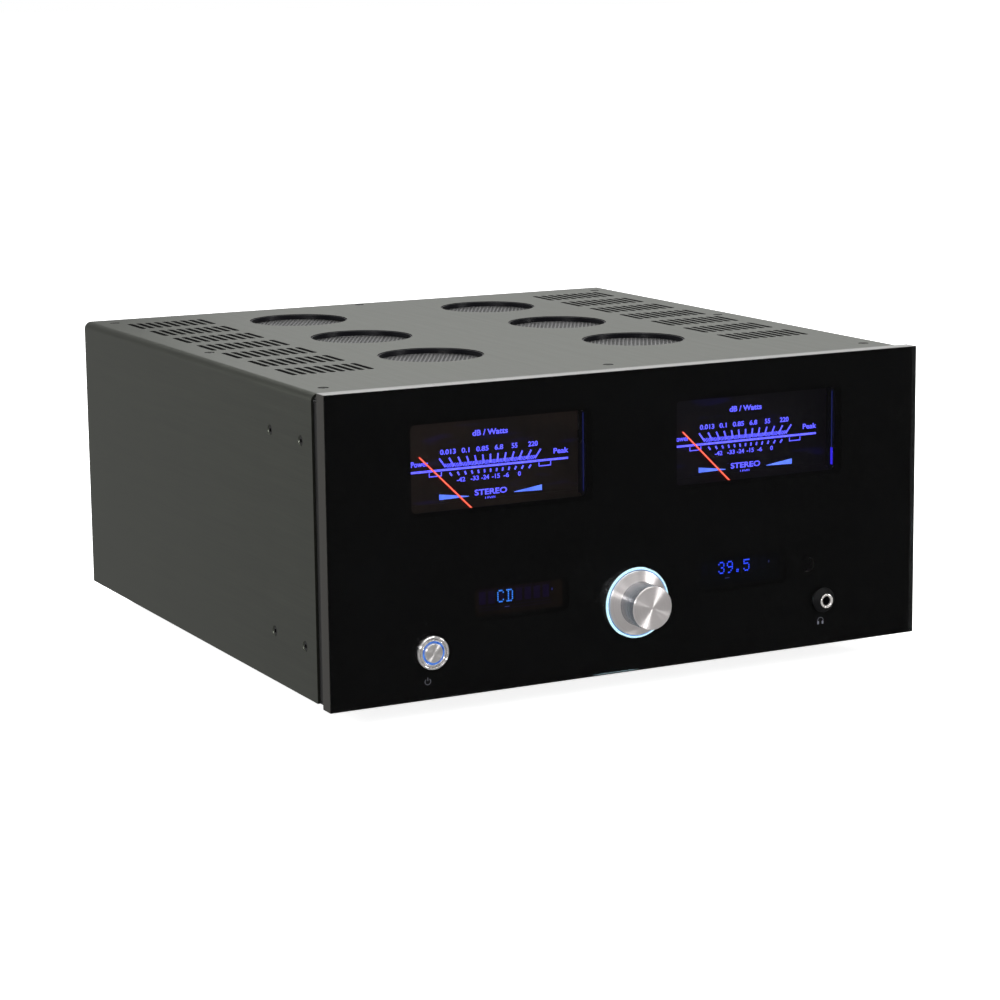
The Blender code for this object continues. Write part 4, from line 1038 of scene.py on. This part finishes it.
def make_display(label, text, first_cell):
    """A smoked face with eight dot-matrix cells, some of them lit."""
    x, mid = DISPLAY_CENTRES[label]
    node = f"display_{label}"
    width, tall = (size + 2 * FLANGE_MARGIN for size in DISPLAY_OPENING)
    flange = rounded_rectangle(width, tall, 4.0, x, mid, 5)
    bm = prisms((outline_of(node, 1.0, 3), 12.8, span(node)[1][1], "front", 1),
                (flange, FLANGE_DEPTH + 0.05, 12.75))
    piece(f"display_module_{label}", bm, [MASK, GLOSS], replaces=[node])
    face = rounded_rectangle(*DISPLAY_OPENING, 2.0, x, mid, 5)
    look = faint_look(f"display_face_{label}", (0.002, 0.002, 0.002), 16.0, *FACE_TINTS[label])
    piece(f"display_window_{label}", prisms((face, FLANGE_DEPTH, FLANGE_DEPTH + 0.04)), [look])

    start = x - DISPLAY_OPENING[0] / 2 + (2.8 if label == "left" else 1.4)
    dot_u, dot_v = CELL_WIDTH / 5, CELL_HEIGHT / 7
    top, bottom = CELL_MIDDLE[label] + CELL_HEIGHT / 2, CELL_MIDDLE[label] - CELL_HEIGHT / 2
    surface = FLANGE_DEPTH - 0.01
    cells = bmesh.new()
    lit = bmesh.new()
    for cell in range(8):
        left = start + cell * CELL_PITCH
        index = cell - first_cell
        glyph = GLYPHS[text[index]] if 0 <= index < len(text) else None
        for row in range(7):
            for column in range(5):
                on = glyph is not None and glyph[row][column] == "1"
                u = left + (column + 0.5) * dot_u
                v = top - (row + 0.5) * dot_v
                share = 0.76 if on else 0.92
                outline = rounded_rectangle(dot_u * share, dot_v * share, 0.05, u, v, 1)
                add_prism(lit if on else cells, outline, surface, surface - 0.04)
    for mark in range(24):
        u = start + mark * CELL_PITCH / 3 + 0.6
        for v in (top + 1.0, bottom - 1.9, bottom - 3.9):
            add_prism(cells, rounded_rectangle(1.3, 0.45, 0.1, u, v, 1), surface, surface - 0.04)
    for u, v, width, tall in ((start + 8 * CELL_PITCH + 0.4, CELL_MIDDLE[label] + 0.6, 0.9, 1.5),
                              (start + 3 * CELL_PITCH + 0.4, bottom - 3.0, 3.6, 0.5)):
        add_prism(cells, rounded_rectangle(width, tall, 0.2, u, v, 2), surface, surface - 0.05, "front", 1)
    look = faint_look(f"display_cell_{label}", (0.002, 0.002, 0.003), 1.2, *CELL_TINTS[label])
    piece(f"display_cells_{label}", cells, [look, WALL_LIGHT_AND_MARK_GLOW])
    piece(f"display_characters_{label}", lit, [DISPLAY_GLOW[label]])


# ------------------------------------------------------------------------------------------ feet and rear

PHONO_PITCH = (19.0, 18.0)


def make_feet():
    for place in ("front_left", "front_right", "rear_left", "rear_right"):
        node = f"foot_{place}"
        low, high = span(node)
        x, depth, _ = middle(node)
        radius, height = (high[0] - low[0]) / 2, high[2] - low[2]
        cup = filleted([(0, height, 0), (radius - 0.6, height, 0.4), (radius, 4.5, 0.4),
                        (radius - 0.5, 3.6, 0.2), (radius - 2.0, 3.4, 0.1), (radius - 2.0, 5.0, 0),
                        (0, 5.0, 0)], closed=False, steps=4)
        pad = filleted([(0, 0.0, 0), (radius - 3.4, 0.0, 0.8), (radius - 2.2, 1.4, 0.6),
                        (radius - 2.2, 4.9, 0), (0, 4.9, 0)], closed=False, steps=4)
        centre = at(x, depth, low[2])
        bm = turnings((cup, centre, "up", 72, 0), (pad, centre, "up", 72, 1))
        piece(f"foot_turned_{place}", bm, [PLASTIC, RUBBER], replaces=[node])


def add_coaxial_socket(bm, centre, barrel, ring, filling, colour):
    """A gold barrel and split contact (material 1) with a ring and a filling of one colour.

    barrel is its length, ring the coloured ring's radius and height, and filling the (radius, along)
    bevel, the top of the plastic inside and the top of the contact.
    """
    bevel, top, tip = filling
    outer = filleted([(4.15, 0, 0), (4.15, barrel, 0.3), (3.3, barrel, 0.2), (3.3, 0.0, 0)], steps=2)
    add_turned(bm, outer, centre, "back", 32, 1)
    radius, height = ring
    collar = filleted([(4.2, 0, 0), (radius, 0, 0), (radius, height, 0.3), (4.2, height + 0.5, 0.2)], steps=2)
    add_turned(bm, collar, centre, "back", 32, colour)
    insulator = [(3.28, 0.1), (3.28, top), (bevel[0], top), (1.5, bevel[1]), (1.5, 0.1)]
    add_turned(bm, insulator, centre, "back", 24, colour)
    contact = [(0, 0.1), (1.45, 0.1), (1.45, tip), (1.0, tip), (1.0, 2.0), (0, 2.0)]
    add_turned(bm, contact, centre, "back", 20, 1)


def make_phono_block():
    node = "phono_socket_block"
    x, _, height = middle(node)
    face = 427.0
    bm = prisms((outline_of(node, 1.0, 3), span(node)[0][1], face + 0.4))
    for column in range(8):
        for row in range(2):
            centre = at(x + (column - 3.5) * PHONO_PITCH[0], face + 0.38,
                        height + (row - 0.5) * PHONO_PITCH[1])
            add_coaxial_socket(bm, centre, 8.6, (6.6, 1.3), ((1.7, 6.4), 6.9, 6.6), 2 if row else 3)
    piece("phono_sockets", bm, [PLASTIC, GOLD, WHITE, RED], replaces=[node])


def make_digital_block():
    """Two optical sockets with shutters, one USB type B socket and two coaxial sockets."""
    node = "digital_socket_block"
    x, _, height = middle(node)
    face = 427.4
    optical, coaxial = (-38.0, -22.0), (24.0, 39.0)
    usb = filleted([(x - 8.3, height - 3.9, 0.4), (x + 0.3, height - 3.9, 0.4), (x + 0.3, height + 2.6, 0.4),
                    (x - 1.4, height + 4.1, 0.4), (x - 6.6, height + 4.1, 0.4), (x - 8.3, height + 2.6, 0.4)],
                   steps=2)
    block = solid("digital_sockets_block", prisms((outline_of(node, 1.0, 3), span(node)[0][1], face)),
                  [PLASTIC])
    cutters = [(rounded_rectangle(8.4, 8.4, 1.2, x + u, height, 3), face - 9, face + 1) for u in optical]
    combine(block, prisms(*cutters, (usb, face - 10, face + 1)))
    softened(block, 0.2, 1)
    shown(block, replaces=[node])

    bm = prisms(*((rounded_rectangle(7.6, 7.6, 0.6, x + u, height, 3), face - 2.2, face - 1.2)
                  for u in optical))
    tongue = rounded_rectangle(5.0, 2.4, 0.3, x - 4.0, height, 2)
    add_prism(bm, tongue, face - 9.5, face - 1.0, "front", 3)
    for u in coaxial:
        add_coaxial_socket(bm, at(x + u, face + 0.02, height), 8.2, (6.4, 1.2), ((1.6, 6.2), 6.5, 6.2), 2)
    piece("digital_contacts", bm, [GLOSS, GOLD, ORANGE, WHITE])


def make_balanced_sockets():
    node = "xlr_socket_block"
    low, high = span(node)
    mid_x, _, height = middle(node)
    front, back = low[1], high[1]
    places = (mid_x - 19.0, mid_x + 19.0)
    shells = [(ring_points(11.6, x, height, 64), front, back - 2.05) for x in places]
    plate = solid("balanced_flange", prisms((outline_of(node, 2.5, 5), back - 2, back), *shells), [STEEL])
    combine(plate, prisms(*((ring_points(10.0, x, height, 64), back - 15, back + 1) for x in places)))
    softened(plate, 0.3)
    shown(plate, replaces=[node])

    insert = filleted([(0, -14.9, 0), (9.9, -14.9, 0), (9.9, -3.0, 0.2), (8.7, -2.4, 0.2), (7.6, -2.4, 0.2),
                       (7.6, -11.0, 0), (0, -11.0, 0)], closed=False, steps=2)
    pin = filleted([(0, -11.0, 0), (1.2, -11.0, 0), (1.2, -3.5, 0.5), (0, -3.2, 0)], closed=False, steps=3)
    bm = bmesh.new()
    for x in places:
        add_turned(bm, insert, at(x, back, height), "back", 64, 0)
        for angle in (210, 330, 90):
            u = x + 4.4 * math.cos(math.radians(angle))
            v = height + 4.4 * math.sin(math.radians(angle))
            add_turned(bm, pin, at(u, back, v), "back", 20, 1)
        tab = rounded_rectangle(5.0, 2.2, 0.5, x, height + 12.6, 3)
        add_prism(bm, tab, back, back + 0.9, "front", 2)
    piece("balanced_inserts", bm, [PLASTIC, GOLD, STEEL])


def fluted(angle, radius):
    """Radius of a speaker cap's grip, which has 24 shallow flutes."""
    return radius - (0.45 * (0.5 - 0.5 * math.cos(24 * angle)))


def make_speaker_terminals():
    node = "speaker_terminal_plate"
    x, _, height = middle(node)
    face = 427.3
    plinth = rounded_rectangle(169.0, 23.0, 2.0, x, height, 4)
    plate = solid("terminal_panel", prisms((outline_of(node, 3.0, 5), face, face + 3.0),
                                           (plinth, span(node)[0][1], face - 0.02)), [GLOSS])
    softened(plate, 0.5)
    shown(plate, replaces=[node])

    posts = bmesh.new()
    base = filleted([(0, 0, 0), (9.6, 0, 0), (9.6, 1.4, 0.4), (7.5, 2.0, 0.3), (7.5, 4.2, 0.3), (0, 4.2, 0)],
                    closed=False, steps=3)
    for number in range(1, 5):
        cap = f"speaker_cap_{number}"
        low, high = span(cap)
        x, _, height = middle(cap)
        positive = number in (1, 3)
        root, end = at(x, face + 2.9, height), high[1] - face - 7.2
        add_turned(posts, base, root, "back", 48, 1 if positive else 2)
        add_turned(posts, [(0, 4.2), (3.0, 4.2), (3.0, end), (0, end)], root, "back", 24, 0)

        length, radius = high[1] - low[1], (high[0] - low[0]) / 2
        grip = filleted([(3.3, 0, 0), (radius - 0.5, 0, 0.2), (radius, 0.6, 0.1), (radius, length - 4.6, 0.1),
                         (radius - 0.7, length - 4.0, 0.2), (3.3, length - 4.0, 0)], steps=2)
        grip = [(reach, along, fluted) if reach > 7.5 else (reach, along) for reach, along in grip]
        nose = filleted([(3.3, length - 3.95, 0), (radius - 0.8, length - 3.95, 0),
                         (radius - 0.8, length - 2.4, 0.3), (radius - 2.2, length - 0.4, 0.5),
                         (3.6, length, 0.3), (3.3, length - 0.6, 0)], steps=3)
        plug = [(0, length - 3.0), (3.28, length - 3.0), (3.28, length - 0.8), (2.3, length - 0.8),
                (2.3, length - 2.6), (0, length - 2.6)]
        centre = at(x, low[1], height)
        bm = turnings((grip, centre, "back", 144, 0), (nose, centre, "back", 64, 1),
                      (plug, centre, "back", 32, 0))
        piece(f"speaker_cap_knurled_{number}", bm, [GOLD, RED if positive else PLASTIC],
              f"speaker_screw_{number}", [cap])
    piece("terminal_posts", posts, [GOLD, RED, PLASTIC])


def make_mains_inlet():
    node = "mains_inlet"
    low, high = span(node)
    x, _, height = middle(node)
    face = high[1]
    shell = filleted([(x + u * 13.7, height + v * 10.0, 0.5) for u, v in SIGNS], steps=3)
    inlet = solid("mains_inlet_moulded", prisms((outline_of(node, 2.5, 5), face - 2.5, face),
                                                (shell, low[1], face - 2.55)), [PLASTIC])
    recess = filleted([(x - 12.1, height - 8.2, 0.8), (x + 12.1, height - 8.2, 0.8),
                       (x + 12.1, height + 3.0, 0.8), (x + 7.0, height + 8.2, 0.8),
                       (x - 7.0, height + 8.2, 0.8), (x - 12.1, height + 3.0, 0.8)], steps=3)
    combine(inlet, prisms((recess, face - 17.0, face + 1)))
    softened(inlet, 0.25, 1)
    shown(inlet, replaces=[node])
    pins = [rounded_rectangle(2.0, 4.0, 0.4, x + u, height + v, 3) for u, v in ((-7, -2), (7, -2), (0, 2))]
    piece("mains_pins", prisms(*((pin, face - 16.9, face - 3.0) for pin in pins)), [STEEL])


def make_switch_frame():
    node = "mains_switch_frame"
    low, high = span(node)
    x, _, height = middle(node)
    face = high[1]
    body = rounded_rectangle(20.0, 28.0, 0.6, x, height, 3)
    holder = solid("mains_switch_bezel", prisms((outline_of(node, 1.5, 4), face - 2.0, face),
                                                (body, low[1], face - 2.05)), [PLASTIC])
    combine(holder, prisms((rounded_rectangle(16.0, 24.0, 0.6, x, height, 3), face - 13.5, face + 1)))
    softened(holder, 0.3)
    shown(holder, replaces=[node])


ROCKER_TILT = math.radians(8)


def make_rocker():
    """The rocker with its two pads, marked I and O."""
    x = middle("mains_rocker")[0]
    pivot = at(x, 427.3, middle("mains_switch_frame")[2])
    pad_slope = math.tan(2 * ROCKER_TILT)
    half, dip = 10.6, 1.6
    rise = dip + half * pad_slope
    outline = filleted([(-half, rise, 0.5), (0, dip, 3.0), (half, rise, 0.5), (half, -0.5, 1.0),
                        (4, -7.0, 1.0), (-4, -7.0, 1.0), (-half, -0.5, 1.0)], steps=4)
    turn = Matrix.Rotation(ROCKER_TILT, 2)
    points = [turn @ Vector(p) for p in outline]
    bm = bmesh.new()
    loops = [[bm.verts.new(pivot + Vector((offset, p.y, p.x)) * MM) for p in points]
             for offset in (-7.6, 7.6)]
    bm.faces.new(loops[0])
    bm.faces.new(loops[1])
    walled(bm, loops)
    rocker = solid("mains_rocker_moulded", bm, [GLOSS])
    softened(rocker, 0.35)
    shown(rocker, "mains_switch_rocker", ["mains_rocker"])

    marks = bmesh.new()
    bar = [rounded_rectangle(0.5, 3.8, 0.1, steps=2)]
    ring = [ring_points(1.9, count=28), ring_points(1.4, count=28)]
    for up, shape in ((5.6, bar), (-5.6, ring)):
        angle = 3 * ROCKER_TILT if up > 0 else -ROCKER_TILT
        base = turn @ Vector((up, dip + abs(up) * pad_slope + 0.03))
        origin = pivot + Vector((0, base.y, base.x)) * MM
        frame_up = Vector((0, math.sin(angle), math.cos(angle)))
        frame_out = Vector((0, math.cos(angle), -math.sin(angle)))
        lids = [[[marks.verts.new(origin + (Vector((p[0], 0, 0)) + frame_up * p[1] + frame_out * lift) * MM)
                  for p in loop] for loop in shape] for lift in (0.0, 0.05)]
        for lower, upper in zip(*lids):
            walled(marks, (lower, upper))
        for lid in lids:
            if len(lid) == 2:
                walled(marks, lid)
            else:
                marks.faces.new(lid[0])
    piece("rocker_marks", marks, [REAR_PRINT], "mains_switch_rocker")


REAR_SCREWS = [(side * x, z) for side in (-1, 1)
               for x, z in ((205.0, 12.0), (205.0, 96.0), (196.0, 184.0), (100.0, 186.0), (110.0, 12.0))]
REAR_SCREWS += [(0.0, 186.0), (-104.0, 159.0), (-20.0, 133.0)]
REAR_WORDS = (("L", -14.0, 109.0), ("R", -14.0, 91.0), ("+", 66.0, 60.0), ("-", 40.0, 60.0),
              ("+", -40.0, 60.0), ("-", -66.0, 60.0), ("L", 130.0, 170.5), ("R", 168.0, 170.5),
              ("R", 53.0, 60.0), ("L", -53.0, 60.0))


def make_rear_details():
    back = span("rear_panel")[1][1]
    bm = bmesh.new()
    for x, height in REAR_SCREWS:
        add_socket_head(bm, at(x, back + 0.1, height), "back", 2.6, proud=1.2)
    for side in (-1, 1):
        add_socket_head(bm, at(149.0, 429.3, 152.0 + side * 12.0), "back", 1.8, proud=0.6)
    screws("rear_screws", bm)
    bm = bmesh.new()
    depth = back + 0.02
    for text, x, height in REAR_WORDS:
        lettering(bm, text, (x, height), 0.7 if text == "-" else 3.0, depth, 0.04, "back")
    for number in range(1, 9):
        x = middle("phono_socket_block")[0] + (number - 4.5) * PHONO_PITCH[0]
        lettering(bm, str(number), (x, 121.0), 2.6, depth, 0.04, "back")
    piece("rear_marks", bm, [REAR_PRINT])


def make_underside_screws():
    bm = bmesh.new()
    low = span("base_pan")[0]
    for x in (-190.0, -95.0, 95.0, 190.0):
        for depth in (28.0, 214.0, 414.0):
            add_socket_head(bm, at(x, depth, low[2] - 0.05), "down", 2.6, proud=1.2)
    screws("underside_screws", bm)


# ---------------------------------------------------------------------------------------------- the stage

# Azimuth, elevation and roll in degrees; focal length in sensor widths.
CAMERA_ANGLES = (28.810, 9.793, -0.3646)
CAMERA_PLACE = (-880.784, -1535.254, 444.435)
CAMERA_FOCUS = 2.83227
CAMERA_SHIFT = (-0.08665, -0.04246)


def make_camera():
    """A long lens from the left and a little above, framed off the picture's middle."""
    azimuth, elevation, roll = (math.radians(angle) for angle in CAMERA_ANGLES)
    forward = Vector((math.sin(azimuth) * math.cos(elevation), math.cos(azimuth) * math.cos(elevation),
                      -math.sin(elevation)))
    right = Vector((math.cos(azimuth), -math.sin(azimuth), 0))
    up = right.cross(forward)
    turned_right = right * math.cos(roll) + up * math.sin(roll)
    turned_up = up * math.cos(roll) - right * math.sin(roll)
    data = bpy.data.cameras.new("camera")
    data.sensor_width = 36.0
    data.lens = CAMERA_FOCUS * data.sensor_width
    data.shift_x, data.shift_y = CAMERA_SHIFT
    camera = add_object("camera", data)
    axes = Matrix((turned_right, turned_up, -forward)).transposed().to_4x4()
    camera.matrix_world = Matrix.Translation(at(*CAMERA_PLACE)) @ axes
    bpy.context.scene.camera = camera


def add_softbox(name, place, aim, size, power):
    data = bpy.data.lights.new(name, "AREA")
    data.shape = "RECTANGLE"
    data.size, data.size_y = size
    data.energy = power
    lamp = add_object(name, data)
    lamp.location = place
    lamp.rotation_euler = (Vector(aim) - Vector(place)).to_track_quat("-Z", "Y").to_euler()
    lamp.visible_camera = False


SOFTBOXES = (
    ("overhead_box", (0.1, 0.3, 2.2), (0, 0.0, 0.2), (2.4, 2.4), 70),
    ("back_box", (2.05, 2.30, 1.32), (0, 0.05, 0.2), (3.0, 1.4), 8.5),
    ("left_box", (-2.2, 1.6, 0.75), (-0.2, 0, 0.1), (2.0, 1.3), 6),
    ("front_box", (-0.9, -1.9, 1.6), (0, -0.2, 0.08), (1.2, 0.7), 6),
    ("far_left_box", (-1.85, -1.30, 0.90), (0, -0.2, 0.08), (0.5, 0.4), 16),
    ("right_box", (1.71, -1.64, 0.70), (0, -0.2, 0.08), (0.3, 0.5), 16),
)


def make_stage():
    """A pale floor, a white backdrop, a grey room for reflections, and the soft boxes."""
    bm = bmesh.new()
    bmesh.ops.create_grid(bm, x_segments=2, y_segments=2, size=30.0)
    mesh = bpy.data.meshes.new("floor")
    bm.to_mesh(mesh)
    bm.free()
    paper = Look("floor_paper", (0.90, 0.90, 0.90), 0.9)
    tone = paper.ramp(paper.noise(60.0), (0.3, 0.89), (0.7, 0.91))
    paper.link(tone, "Base Color")
    paper.glow(tone, 0.95)
    floor = add_object("floor", mesh, [paper.material])
    floor.visible_glossy = False
    floor.visible_transmission = False

    world = bpy.data.worlds.new("studio")
    bpy.context.scene.world = world
    world.use_nodes = True
    tree = world.node_tree
    tree.nodes.clear()
    direction = new_node(tree, "ShaderNodeNewGeometry").outputs["Normal"]
    height = new_node(tree, "ShaderNodeSeparateXYZ", {0: direction}).outputs["Z"]
    level = new_node(tree, "ShaderNodeMath", {0: height, 1: -0.5, 2: 0.5}, operation="MULTIPLY_ADD")
    grey = new_ramp(tree, level.outputs[0], ((0.0, 0.30), (0.46, 0.33), (0.54, 0.18), (1.0, 0.45)))
    # A black flag stands where the fascia would mirror the room into the camera.
    toward = new_node(tree, "ShaderNodeVectorMath", {0: direction, 1: (-0.47, 0.866, 0.165)},
                      operation="DOT_PRODUCT")
    flag = new_node(tree, "ShaderNodeMapRange", {"Value": toward.outputs["Value"], "From Min": 0.80,
                                                 "From Max": 0.95, "To Min": 1.0, "To Max": 0.10})
    room = new_node(tree, "ShaderNodeBackground", {"Color": grey, "Strength": flag.outputs["Result"]})
    backdrop = new_node(tree, "ShaderNodeBackground", {"Color": (1.0, 1.0, 1.0, 1.0), "Strength": 1.0})
    seen = new_node(tree, "ShaderNodeLightPath").outputs["Is Camera Ray"]
    mix = new_node(tree, "ShaderNodeMixShader", {"Fac": seen, 1: room.outputs[0], 2: backdrop.outputs[0]})
    new_node(tree, "ShaderNodeOutputWorld", {"Surface": mix.outputs[0]})

    for box in SOFTBOXES:
        add_softbox(*box)
    bpy.context.scene.view_settings.view_transform = "Standard"


def dress_kept_nodes():
    """Give every CAD node that still shows the look of its material slot."""
    slots = {entry["node"]: entry["material_slot"] for entry in frame["record"]["subparts"]}
    for name, obj in frame["nodes"].items():
        if obj.hide_render:
            continue
        obj.data.materials.clear()
        obj.data.materials.append(COLLAR if name == "ir_receiver" else SLOT_LOOKS[slots[name]])


make_camera()
make_stage()
make_cover()
make_casing_screws()
make_vents()
make_fascia()
make_icons()
make_knob()
make_power_button()
make_headphone_socket()
for _, label in SIDES:
    make_meter(label)
    make_needle(label)
make_display("left", "CD", 2)
make_display("right", "39.5", 2)
make_feet()
make_phono_block()
make_digital_block()
make_balanced_sockets()
make_speaker_terminals()
make_mains_inlet()
make_switch_frame()
make_rocker()
make_rear_details()
make_underside_screws()
dress_kept_nodes()
